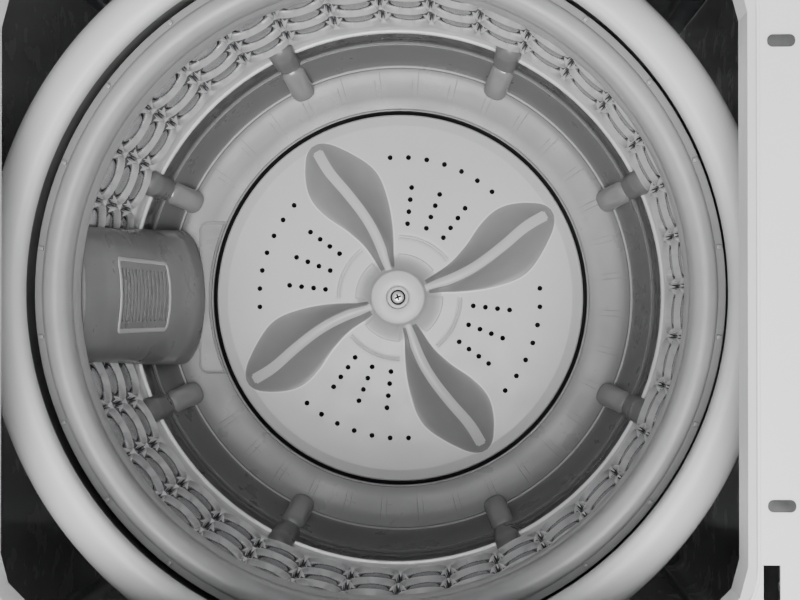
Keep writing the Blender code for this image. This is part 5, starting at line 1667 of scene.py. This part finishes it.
def make_lid_details():
    """The lid's inner trim, screws, handle and pins, all in the hinge's frame."""
    pane_low, pane_high = (-0.235, -0.4285), (0.235, -0.0625)
    levels = (
        (-0.0120, -0.0103), (-0.0120, -0.0116), (-0.0110, -0.0122), (-0.0040, -0.0122), (-0.0030, -0.0116),
        (-0.0030, -0.0103),
    )
    piece(
        "lid_inner_trim", *raised_border(pane_low, pane_high, 0.016, levels, LID_PLACE), "lid",
        "grey_plastic", sharp=35,
    )
    levels = (
        (0.0014, 0.0107), (0.0014, 0.0111), (0.0004, 0.0113), (-0.0060, 0.0113), (-0.0066, 0.0110),
        (-0.0066, 0.0104),
    )
    piece(
        "glass_border", *raised_border(pane_low, pane_high, 0.020, levels, LID_PLACE), "lid", "dark_plastic",
        sharp=35,
    )
    spots = [(x, y) for x in (-0.262, 0.262) for y in (-0.450, -0.340, -0.230, -0.120)]
    spots += [(x, -0.462) for x in (-0.150, 0.0, 0.150)]
    turn = LID_PLACE.to_3x3()
    places = [(LID_PLACE @ Vector((x, y, -0.0090)), turn @ Vector((0, 0, -1))) for x, y in spots]
    screws("lid_screws", places, "lid", head=0.0030)
    bar = pad((-0.075, -0.4975), (0.075, -0.4838), 0.0065, -0.0040, 0.0060, 0.0030, 10)
    piece("handle_bar", *placed(bar, LID_PLACE), "lid", "stainless", ("lid_handle",), sharp=35)
    grips = [
        ((x - 0.0012, -0.4968, 0.0052), (x + 0.0012, -0.4850, 0.0060)) for x in np.linspace(-0.045, 0.045, 13)
    ]
    blocks("handle_grips", grips, "lid", "rubber", LID_PLACE, radius=0.0008, edge=0.0002)
    for side, word in ((-1, "left"), (1, "right")):
        place = LID_PLACE @ aimed((1, 0, 0), (side * 0.241 - 0.0145, 0.0, 0.0))
        profile = [
            (0.0, 0.0), (0.0032, 0.0), (0.0040, 0.0008), (0.0040, 0.0282), (0.0032, 0.0290), (0.0, 0.0290),
        ]
        piece(
            f"hinge_rod_{word}", *lathe(profile, place, 40), "lid", "zinc_steel", (f"hinge_pin_{word}",),
            sharp=35,
        )


def make_lock():
    """Screws and a plug under the lid lock, and a turned bolt with a groove."""
    low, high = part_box("lid_lock")
    y = (low.y + high.y) / 2
    plug = [((low.x + 0.034, y - 0.012, low.z - 0.0075), (low.x + 0.046, y + 0.012, low.z + 0.0004))]
    plug += [
        (
            (low.x + 0.036, y - 0.010 + 0.005 * k, low.z - 0.0100),
            (low.x + 0.044, y - 0.0065 + 0.005 * k, low.z - 0.0070),
        )
        for k in range(4)
    ]
    blocks("lock_plug", plug, "cabinet", "button_plastic", radius=0.0008)
    places = [((low.x + 0.008, y + side * 0.0145, low.z), (0, 0, -1)) for side in (-1, 1)]
    screws("lock_screws", places, "cabinet", head=0.0030)
    bolt_low, bolt_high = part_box("lock_bolt")
    length = bolt_high.x - bolt_low.x
    profile = [
        (0.0, 0.0), (0.0020, 0.0), (0.0030, 0.0008), (0.0035, 0.0020), (0.0035, 0.0200), (0.0030, 0.0206),
        (0.0030, 0.0226), (0.0035, 0.0232), (0.0035, length - 0.0004), (0.0031, length), (0.0, length),
    ]
    place = aimed((1, 0, 0), (bolt_low.x, (bolt_low.y + bolt_high.y) / 2, (bolt_low.z + bolt_high.z) / 2))
    piece("lock_bolt_turned", *lathe(profile, place, 40), "lock_bolt", "zinc_steel", ("lock_bolt",), sharp=35)


# ---------------------------------------------------------------- console


KNOB = (-0.040, 0.082)
LENS = (0.085, 0.088)
ROUND_BUTTONS = {"power_button": (-0.225, 0.082, 0.011), "start_button": (0.225, 0.082, 0.014)}
OPTION_BUTTONS = {"option_button_1": (0.050, 0.046), "option_button_2": (0.120, 0.046)}


def make_fascia():
    """A thin dark inlay on the console's face, with an opening for each control and a fine rim."""
    low, high = (-0.300, 0.022), (0.300, 0.140)
    fascia = piece("console_fascia", *pad(low, high, 0.014, -0.0004, 0.0005, 0.0002, 8), "cabinet", "fascia")
    tools = [lathe([(0.0295, -0.01), (0.0295, 0.01)], Matrix.Translation((*KNOB, 0.0)), 96)]
    for x, y, radius in ROUND_BUTTONS.values():
        bore = [(radius + 0.0012, -0.01), (radius + 0.0012, 0.01)]
        tools.append(lathe(bore, Matrix.Translation((x, y, 0.0)), 64))
    windows = [(LENS, (0.0612, 0.0212), 0.0070)]
    windows += [(middle, (0.0212, 0.0067), 0.0050) for middle in OPTION_BUTTONS.values()]
    for (x, y), (wide, deep), radius in windows:
        corners = (x - wide, y - deep), (x + wide, y + deep)
        tools.append(capped([rectangle(*corners, radius, z, 8) for z in (-0.01, 0.01)]))
    cut(fascia, tools, sharp=35)
    fascia.data.transform(FACE_PLACE)
    levels = (
        (0.0, -0.0002), (0.0, 0.0007), (0.0005, 0.0010), (0.0012, 0.0010), (0.0016, 0.0006),
        (0.0016, -0.0002),
    )
    piece(
        "fascia_rim", *raised_border(low, high, 0.014, levels, FACE_PLACE), "cabinet", "stainless", sharp=35,
    )


def make_markings():
    """Raised marks round the knob, and lamps beside the buttons and in the display."""
    marks = []
    for step in range(16):
        turn = TAU * step / 16
        place = FACE_PLACE @ Matrix.Translation((*KNOB, 0.0)) @ Matrix.Rotation(turn, 4, "Z")
        long = 0.0042 if step % 4 == 0 else 0.0024
        mark = pad((0.0325, -0.0005), (0.0325 + long, 0.0005), 0.0004, 0.0002, 0.0008, 0.0001, 3)
        marks.append(placed(mark, place))
    for x in (-0.270, -0.180, 0.188, 0.262):
        mark = pad((x - 0.0040, 0.0812), (x + 0.0040, 0.0828), 0.0007, 0.0002, 0.0008, 0.0001, 3)
        marks.append(placed(mark, FACE_PLACE))
    piece("console_marks", *merged(marks), "cabinet", "button_plastic", sharp=40)
    lamps = []
    lamp = [(0.0, 0.0002), (0.0013, 0.0002), (0.0013, 0.0007), (0.0009, 0.0011), (0.0, 0.0012)]
    places = [(x, 0.0605) for x in (0.050, 0.120)] + [(-0.225, 0.102), (0.225, 0.105)]
    places += [at_angle(0.0405, TAU * step / 8, KNOB) for step in range(8)]
    for x, y in places:
        lamps.append(lathe(lamp, FACE_PLACE @ Matrix.Translation((x, y, 0.0)), 20))
    for digit in range(3):
        middle = LENS[0] - 0.026 + 0.022 * digit + (0.006 if digit else 0.0)
        for u, v, upright in (
            (-0.006, 0.0055, True), (0.006, 0.0055, True), (-0.006, -0.0055, True), (0.006, -0.0055, True),
            (0.0, 0.0115, False), (0.0, 0.0, False), (0.0, -0.0115, False),
        ):
            half = (0.0009, 0.0043) if upright else (0.0043, 0.0009)
            low = (middle + u - half[0], LENS[1] + v - half[1])
            high = (middle + u + half[0], LENS[1] + v + half[1])
            lamps.append(placed(pad(low, high, 0.0008, -0.0060, -0.0050, 0.0002, 3), FACE_PLACE))
    for v in (-0.004, 0.004):
        low = (LENS[0] - 0.0125, LENS[1] + v - 0.0009)
        high = (LENS[0] - 0.0107, LENS[1] + v + 0.0009)
        lamps.append(placed(pad(low, high, 0.0008, -0.0060, -0.0050, 0.0002, 3), FACE_PLACE))
    piece("console_lamps", *merged(lamps), "cabinet", "lamp", sharp=40)


def make_controls():
    """The grooved knob with its pointer, and buttons with dished tops."""
    knob_place = FACE_PLACE @ Matrix.Translation((*KNOB, 0.0))
    count = 144
    profile = [
        (0.0040, -0.0158), (0.0040, 0.0010), (0.0265, 0.0010), (0.0278, 0.0018), (0.0280, 0.0030),
        (0.0272, 0.0040),
    ]
    grooved = [(0.0258, 0.0046), (0.0252, 0.0100), (0.0247, 0.0150), (0.0240, 0.0166)]
    top = [(0.0226, 0.0178), (0.0205, 0.0180), (0.0190, 0.0172), (0.0120, 0.0166), (0.0002, 0.0164)]
    rings = [ring_points(r, z, (0.0, 0.0), count) for r, z in profile]
    for radius, z in grooved:
        turns = [TAU * step / count for step in range(count)]
        reach = [radius - 0.0007 * max(0.0, math.cos(36 * a)) for a in turns]
        rings.append([(*at_angle(r, a, (0.0, 0.0)), z) for r, a in zip(reach, turns)])
    rings += [ring_points(r, z, (0.0, 0.0), count) for r, z in top]
    piece(
        "knob_moulding", *placed(capped(rings), knob_place), "cycle_knob", "button_plastic", ("cycle_knob",),
        sharp=40,
    )
    pointer = pad((-0.0011, 0.0085), (0.0011, 0.0220), 0.0010, 0.0158, 0.01795, 0.0003, 4)
    piece("knob_pointer", *placed(pointer, knob_place), "cycle_knob", "dark_plastic", sharp=40)
    for name, (x, y, r) in ROUND_BUTTONS.items():
        place = FACE_PLACE @ Matrix.Translation((x, y, 0.0))
        profile = [
            (0.0, -0.0100), (r - 0.0012, -0.0100), (r - 0.0002, -0.0088), (r - 0.0002, 0.0018),
            (r - 0.0008, 0.0027), (r - 0.0018, 0.0030), (r - 0.0030, 0.0027), (r * 0.45, 0.0021),
            (0.0, 0.0020),
        ]
        piece(f"{name}_cap", *lathe(profile, place, 64), name, "button_plastic", (name,), sharp=40)
        ring = [
            (r * 0.50, 0.0020), (r * 0.50, 0.00255), (r * 0.46, 0.00270), (r * 0.40, 0.00270),
            (r * 0.36, 0.00255), (r * 0.36, 0.0020),
        ]
        piece(f"{name}_mark", *hoop(ring, place), name, "lamp", sharp=40)
    for name, (x, y) in OPTION_BUTTONS.items():
        place = FACE_PLACE @ Matrix.Translation((x, y, 0.0))
        cap = pad((-0.0198, -0.0053), (0.0198, 0.0053), 0.0040, -0.0090, 0.0022, 0.0009, 8)
        piece(f"{name}_cap", *placed(cap, place), name, "button_plastic", (name,), sharp=40)
        dots = [
            pad((u - 0.0010, -0.0010), (u + 0.0010, 0.0010), 0.0009, 0.0018, 0.00235, 0.0002, 4)
            for u in (-0.012, 0.0, 0.012)
        ]
        piece(f"{name}_dots", *placed(merged(dots), place), name, "dark_plastic", sharp=40)


def make_console_back():
    """Louvres and screws on the console's rear cover."""
    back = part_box("console_rear_cover")[1].y
    bars = [
        ((x - 0.0020, 0.975, -back), (x + 0.0020, 1.065, 0.0008 - back))
        for x in np.arange(0.020, 0.160, 0.010)
    ]
    facing_back = Matrix(((1, 0, 0, 0), (0, 0, -1, 0), (0, 1, 0, 0), (0, 0, 0, 1)))
    blocks("rear_louvres", bars, "cabinet", "dark_plastic", facing_back, radius=0.0018, edge=0.0003)
    places = [
        ((x, back - 0.0024, z), (0, 1, 0)) for x in (-0.325, -0.050, 0.200, 0.325) for z in (0.958, 1.080)
    ]
    screws("cover_back_screws", places, "cabinet", head=0.0034)


def make_board():
    """Chips, capacitors, a relay and plugs on the control board."""
    back = []
    for x, y, w, h, deep in (
        (-0.060, 0.050, 0.020, 0.015, 0.012), (-0.030, 0.050, 0.014, 0.010, 0.004),
        (0.000, 0.055, 0.018, 0.018, 0.003), (0.030, 0.046, 0.012, 0.006, 0.008),
        (0.050, 0.046, 0.012, 0.006, 0.008), (0.140, 0.050, 0.016, 0.012, 0.006),
    ):
        back.append(((x - w / 2, y - h / 2, -0.0262 - deep), (x + w / 2, y + h / 2, -0.0258)))
    for step in range(10):
        back.append(((-0.070 + 0.021 * step, 0.0385, -0.0275), (-0.067 + 0.021 * step, 0.0400, -0.0258)))
    blocks("board_parts", back, "cabinet", "dark_plastic", FACE_PLACE, radius=0.0006, edge=0.0003)
    profile = [
        (0.0, 0.0), (0.0036, 0.0), (0.0038, 0.0010), (0.0036, 0.0018), (0.0038, 0.0024), (0.0038, 0.0095),
        (0.0032, 0.0100), (0.0, 0.0098),
    ]
    cans = []
    for x, y in ((-0.012, 0.040), (0.085, 0.048), (0.100, 0.048), (0.115, 0.050)):
        place = FACE_PLACE @ Matrix.Translation((x, y, -0.0258)) @ Matrix.Rotation(math.pi, 4, "X")
        cans.append(lathe(profile, place, 24))
    piece("board_capacitors", *merged(cans), "cabinet", "cast_aluminium", sharp=40)


# ---------------------------------------------------------------- water, detergent and drain


PUMP = (0.165, CENTRE.y - 0.130)  # the rotor's axis, seen from above


def make_inlet_valve():
    """A moulded manifold, two solenoids with blade terminals, threaded ports and a barbed spigot."""
    low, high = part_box("inlet_valve")
    x, y, z = -0.140, 0.301, 1.020
    body = [((low.x, y - 0.0145, z - 0.0195), (high.x, y + 0.0190, z + 0.0060)),
            ((x - 0.030, y - 0.0120, z - 0.0200), (x + 0.030, y + 0.0140, z - 0.0100))]
    blocks(
        "valve_manifold", body, "cabinet", "dark_plastic", replaces=("inlet_valve",), radius=0.004,
        edge=0.0012,
    )
    solenoid = [
        (0.0, 0.0), (0.0125, 0.0), (0.0135, 0.0010), (0.0135, 0.0160), (0.0125, 0.0172), (0.0060, 0.0174),
        (0.0058, 0.0190), (0.0, 0.0192),
    ]
    parts, blades = [], []
    for number, port in enumerate((-0.170, -0.110), start=1):
        place = Matrix.Translation((port, y + 0.001, z + 0.0055))
        parts.append(lathe(solenoid, place, 48))
        for side in (-1, 1):
            at = port + side * 0.006
            blades.append(((at - 0.0004, y - 0.0035, z + 0.0210), (at + 0.0004, y + 0.0035, z + 0.0249)))
        place = aimed((0, 1, 0), (port, y + 0.0180, z))
        end = BACK_Y + 0.018 - y - 0.0180
        profile = [
            (0.0095, 0.0), (0.0125, 0.0), (0.0125, 0.0060), *thread(0.0130, 0.0070, end - 0.0016),
            (0.0120, end - 0.0004), (0.0116, end), (0.0095, end), (0.0090, end - 0.0006), (0.0090, 0.0060),
            (0.0088, 0.0),
        ]
        piece(f"valve_port_{number}", *hoop(profile, place, 48), "cabinet", "dark_plastic", sharp=35)
        screen = lathe(
            [(0.0, 0.0), (0.0089, 0.0), (0.0089, 0.0012), (0.0040, 0.0030), (0.0, 0.0034)],
            aimed((0, 1, 0), (port, y + 0.030, z)), 32,
        )
        piece(f"port_screen_{number}", *screen, "cabinet", "stainless", sharp=40)
    piece("valve_coils", *merged(parts), "cabinet", "button_plastic", sharp=35)
    blocks("valve_terminals", blades, "cabinet", "zinc_steel", radius=0.0002, edge=0.0001)
    spigot = z - 0.0350
    profile = [
        (0.0, spigot), (0.0072, spigot), (0.0080, spigot + 0.0020), (0.0074, spigot + 0.0026),
        (0.0080, spigot + 0.0060), (0.0074, spigot + 0.0066), (0.0074, z - 0.0190), (0.0, z - 0.0190),
    ]
    piece(
        "valve_spigot", *lathe(profile, Matrix.Translation((x, y, 0.0)), 32), "cabinet", "dark_plastic",
        sharp=35,
    )


def make_hoses():
    """Hoses with clamps, and the sump's bellows."""
    low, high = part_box("fill_hose")
    x, y = centre_of("fill_hose")
    tube(
        "fill_hose_rubber", [(x, y, high.z), (x, y, (low.z + high.z) / 2), (x, y, low.z)], 0.0095, "cabinet",
        "rubber", ("fill_hose",), around=32,
    )
    trap = at_angle(0.288, math.radians(50))
    route = [
        (0.190, 0.301, 0.9817), (0.190, 0.301, 0.940), (0.190, 0.301, 0.700), (0.190, 0.301, 0.500),
        (0.190, 0.271, 0.430), (trap[0], trap[1] + 0.010, 0.402), (*trap, 0.386), (*trap, 0.3745),
    ]
    hose = tube("air_hose", route, 0.0030, None, "rubber", ("pressure_hose",), around=12)
    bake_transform(hose)
    (x, y), outlet = PUMP, 0.105
    end_y = BACK_Y - 0.0135
    route = [
        (x, y + 0.0612, outlet), (x, y + 0.076, outlet), (x + 0.004, y + 0.100, outlet),
        (0.190, 0.010, 0.103),
        (0.235, 0.090, 0.102), (0.262, 0.170, 0.110), (0.252, 0.250, 0.138), (0.240, end_y - 0.030, 0.150),
        (0.240, end_y, 0.150),
    ]
    tube(
        "drain_hose_corrugated", route, 0.0105, "cabinet", "rubber", ("drain_hose",), ripple=0.0014,
        pitch=0.0055, around=24,
    )
    ends = [
        (aimed((0, 1, 0), (x, y + 0.068, outlet)), 0.0106),
        (aimed((0, 1, 0), (0.240, end_y - 0.008, 0.150)), 0.0106),
    ]
    clamps("drain_clamps", ends, "cabinet")
    low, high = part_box("sump_hose")
    folds = 6
    pitch = (high.z - low.z - 0.016) / folds
    outer = [(0.0172, low.z), (0.0176, low.z + 0.0010), (0.0176, low.z + 0.0070)]
    for fold in range(folds):
        for share, radius in (
            (0.12, 0.0168), (0.30, 0.0185), (0.45, 0.0194), (0.55, 0.0194), (0.70, 0.0185), (0.88, 0.0168),
        ):
            outer.append((radius, low.z + 0.008 + pitch * (fold + share)))
    outer += [(0.0176, high.z - 0.0070), (0.0176, high.z - 0.0010), (0.0172, high.z)]
    inner = [(radius - 0.0030, z) for radius, z in reversed(outer)]
    bellows = turned(
        "sump_bellows", outer + inner, "cabinet", "rubber", ("sump_hose",), centre=(x, y), count=64, sharp=60,
    )
    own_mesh(bellows)


def make_level_sensor():
    """A round pressure switch with a barbed inlet below and blade terminals on top."""
    low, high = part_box("level_sensor")
    place = Matrix.Translation((*centre_of("level_sensor"), low.z))
    top = high.z - low.z
    profile = [
        (0.0, 0.0), (0.0024, 0.0), (0.0030, 0.0030), (0.0026, 0.0036), (0.0026, 0.0176), (0.0150, 0.0180),
        (0.0156, 0.0188), (0.0184, 0.0190), (0.0190, 0.0196), (0.0190, 0.0250), (0.0184, 0.0256),
        (0.0180, 0.0262), (0.0180, top - 0.0040), (0.0170, top - 0.0032), (0.0060, top - 0.0026),
        (0.0056, top - 0.0034), (0.0, top - 0.0034),
    ]
    piece("sensor_case", *lathe(profile, place, 64), "cabinet", "dark_plastic", ("level_sensor",), sharp=35)
    blades = [
        ((u - 0.0004, v - 0.0028, top - 0.0032), (u + 0.0004, v + 0.0028, top))
        for u, v in ((-0.010, 0.0), (0.010, 0.0), (0.0, 0.011))
    ]
    blocks("sensor_terminals", blades, "cabinet", "zinc_steel", place, radius=0.0002, edge=0.0001)


def make_drawer_details():
    """A grip lip on the drawer's front, a siphon post in the softener's cup, and a fill line."""
    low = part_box("detergent_drawer")[0]
    grip = [((-0.165, low.y - 0.0030, low.z + 0.0010), (-0.095, low.y + 0.0004, low.z + 0.0070))]
    grip += [
        ((x - 0.0005, low.y - 0.0008, low.z + 0.012), (x + 0.0005, low.y + 0.0003, low.z + 0.036))
        for x in np.linspace(-0.185, -0.075, 23)
    ]
    blocks("drawer_grip", grip, "detergent_drawer", "deck_plastic", radius=0.0004, edge=0.0002)
    place = Matrix.Translation((-0.085, 0.288, low.z + 0.0024))
    profile = [
        (0.0, 0.0), (0.0085, 0.0), (0.0085, 0.0020), (0.0060, 0.0026), (0.0060, 0.0280), (0.0074, 0.0286),
        (0.0074, 0.0320), (0.0066, 0.0330), (0.0, 0.0330),
    ]
    piece("siphon_post", *lathe(profile, place, 40), "detergent_drawer", "button_plastic", sharp=35)
    line = ((-0.1975, 0.2200, low.z + 0.030), (-0.1970, 0.3050, low.z + 0.0306))
    blocks("fill_line", [line], "detergent_drawer", "grey_plastic", radius=0.0001, edge=0.0001)


def make_pump_details():
    """Ribs, bolts and laminations on the pump's motor, and a rotor with curved vanes."""
    x, y = PUMP
    ribs = []
    for side in (-1, 1):
        for step in range(7):
            z = 0.040 + 0.0065 * step
            ribs.append(
                (
                    (x + side * 0.0290 - 0.0012, y - 0.0250, z),
                    (x + side * 0.0290 + 0.0012, y + 0.0250, z + 0.0040),
                )
            )
            ribs.append(
                (
                    (x - 0.0250, y + side * 0.0290 - 0.0012, z),
                    (x + 0.0250, y + side * 0.0290 + 0.0012, z + 0.0040),
                )
            )
    blocks("pump_laminations", ribs, "cabinet", "zinc_steel", radius=0.0004, edge=0.0003)
    ears, spots = [], []
    for step in range(5):
        angle = TAU * (step + 0.15) / 5
        at = Vector((*at_angle(0.0372, angle, PUMP), 0.0))
        ears.append(
            lathe(
                [
                    (0.0, 0.1060), (0.0042, 0.1060), (0.0046, 0.1066), (0.0046, 0.1176), (0.0042, 0.1182),
                    (0.0, 0.1182),
                ],
                Matrix.Translation(at), 32,
            )
        )
        spots.append((at + Vector((0, 0, 0.1182)), (0, 0, 1)))
    piece("pump_ears", *merged(ears), "cabinet", "dark_plastic", sharp=35)
    screws("pump_screws", spots, "cabinet", head=0.0030)
    place = Matrix.Translation((x, y, 0.0))
    profile = [
        (0.0, 0.0950), (0.0196, 0.0950), (0.0200, 0.0956), (0.0200, 0.0974), (0.0194, 0.0980),
        (0.0070, 0.0984), (0.0056, 0.1000), (0.0050, 0.1124), (0.0042, 0.1130), (0.0, 0.1130),
    ]
    shapes = [lathe(profile, place, 48)]
    for vane in range(6):
        curve = [(0.004 + 0.0150 * t / 8, TAU * vane / 6 + 0.9 * (t / 8) ** 1.3) for t in range(9)]
        sections = []
        for radius, angle in curve:
            outward = Vector((math.cos(angle), math.sin(angle), 0.0))
            beside = Vector((-outward.y, outward.x, 0.0)) * 0.0007
            top = 0.1100 - 0.05 * max(radius - 0.012, 0.0)
            centre = Vector((x, y, 0.0)) + outward * radius
            corners = ((-1.0, 0.0972), (1.0, 0.0972), (0.6, top), (-0.6, top))
            sections.append([centre + beside * side + Vector((0, 0, z)) for side, z in corners])
        shapes.append(capped(sections))
    piece("pump_vanes", *merged(shapes), "pump_rotor", "button_plastic", ("pump_rotor",), sharp=35)


def make_bracket_details():
    """Bolts and rubber washers that hold the motor to its bracket."""
    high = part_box("motor_bracket")[1]
    spots = [(x, CENTRE.y + 0.178 + y) for x in (-0.030, 0.030) for y in (-0.030, 0.030)]
    profile = [(0.0, 0.0), (0.0068, 0.0), (0.0070, 0.0006), (0.0064, 0.0012), (0.0, 0.0012)]
    washers = [lathe(profile, Matrix.Translation((x, y, high.z - 0.0360))) for x, y in spots]
    piece("bracket_washers", *merged(washers), "tub", "rubber", sharp=40)
    screws("bracket_screws", [((x, y, high.z - 0.0350), (0, 0, 1)) for x, y in spots], "tub", head=0.0036)


# ---------------------------------------------------------------- kept CAD solids


KEPT = {
    "deck_plastic": (
        ("top_panel", 0.0010), ("lid_frame", 0.0012), ("console_housing", 0.0012),
        ("console_rear_cover", 0.0006), ("dispenser_housing", 0.0006), ("detergent_drawer", 0.0007),
    ),
    "tub_plastic": (("outer_tub", 0.0),),
    "zinc_steel": (("base_frame", 0.0006), ("motor_bracket", 0.0008)),
    "cast_aluminium": (("clutch_housing", 0.0010), ("drive_hub", 0.0008)),
    "dark_plastic": (("lid_lock", 0.0008), ("drain_pump", 0.0010)),
    "tinted_glass": (("lid_glass", 0.0006), ("display_window", 0.0001)),
    "board_green": (("control_board", 0.0002),),
}


def dress_kept_nodes():
    """The CAD solids that stay get a fine bevel and the material of their slot."""
    for slot, nodes in KEPT.items():
        for node, width in nodes:
            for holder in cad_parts[node].material_slots:
                holder.material = MATERIALS[slot]
            if width:
                soften(node, width)


make_impeller()
make_impeller_screw()
make_basket_base()
make_upper_fingers()
make_floor_cover()
make_floor_ribs()
make_basket_wall()
make_filter_column()
make_balance_ring()
make_tub_cover()
make_outer_tub()
make_suspension()
make_motor()
make_drive_pulley()
make_motor_pulley()
make_belt()
make_clutch()
make_cabinet()
make_rear_panel()
make_rear_ports()
make_base_frame()
make_feet()
make_deck_details()
make_lid_details()
make_lock()
make_fascia()
make_markings()
make_controls()
make_console_back()
make_board()
make_inlet_valve()
make_hoses()
make_level_sensor()
make_drawer_details()
make_pump_details()
make_bracket_details()
dress_kept_nodes()


# ---------------------------------------------------------------- camera, light and floor


def make_floor():
    """A pale flat floor under the machine."""
    made = surface("studio_floor", grey(0.72), 0.65, shade=0.02, patch=1.2, grain=200.0, relief=0.00002)
    mesh = bpy.data.meshes.new("studio_floor")
    mesh.from_pydata([(-8, -8, 0), (8, -8, 0), (8, 8, 0), (-8, 8, 0)], [], [(0, 1, 2, 3)])
    mesh.materials.append(made)
    floor = bpy.data.objects.new("studio_floor", mesh)
    bpy.context.scene.collection.objects.link(floor)


def area_light(name, place, target, size, power):
    light = bpy.data.lights.new(name, "AREA")
    light.shape = "DISK"
    light.size = size
    light.energy = power
    obj = bpy.data.objects.new(name, light)
    obj.location = place
    obj.rotation_euler = (Vector(target) - Vector(place)).to_track_quat("-Z", "Y").to_euler()
    bpy.context.scene.collection.objects.link(obj)


def make_light():
    world = bpy.data.worlds.new("studio")
    world.use_nodes = True
    background = world.node_tree.nodes["Background"]
    background.inputs["Color"].default_value = (0.93, 0.95, 1.0, 1.0)
    background.inputs["Strength"].default_value = 0.42
    bpy.context.scene.world = world
    area_light("ceiling", (0.0, 0.0, 3.6), (0.0, 0.0, 0.5), 5.0, 45.0)
    area_light("overhead", (-0.02, -0.70, 3.4), (0.0, 0.0, 0.5), 1.5, 90.0)
    area_light("front_left", (-2.6, -3.0, 2.4), (0.0, 0.0, 0.6), 2.2, 60.0)
    area_light("right", (3.2, -1.4, 2.0), (0.0, 0.0, 0.6), 1.6, 35.0)
    area_light("behind", (0.8, 3.2, 2.4), (0.0, 0.0, 0.6), 2.0, 40.0)


def make_camera():
    """Looks straight down into the open machine."""
    camera = bpy.data.cameras.new("camera")
    camera.sensor_width = 36.0
    camera.lens = 63.7
    obj = bpy.data.objects.new("camera", camera)
    eye = Vector((CENTRE.x + 0.063, CENTRE.y - 0.015, RIM_Z + 1.491))
    target = Vector((CENTRE.x + 0.0007, CENTRE.y - 0.0025, RIM_Z))
    forward = (target - eye).normalized()
    right = forward.cross(Vector((0, 1, 0))).normalized()
    up = right.cross(forward)
    obj.matrix_world = Matrix.Translation(eye) @ Matrix((right, up, -forward)).transposed().to_4x4()
    bpy.context.scene.collection.objects.link(obj)
    bpy.context.scene.camera = obj


make_floor()
make_light()
make_camera()
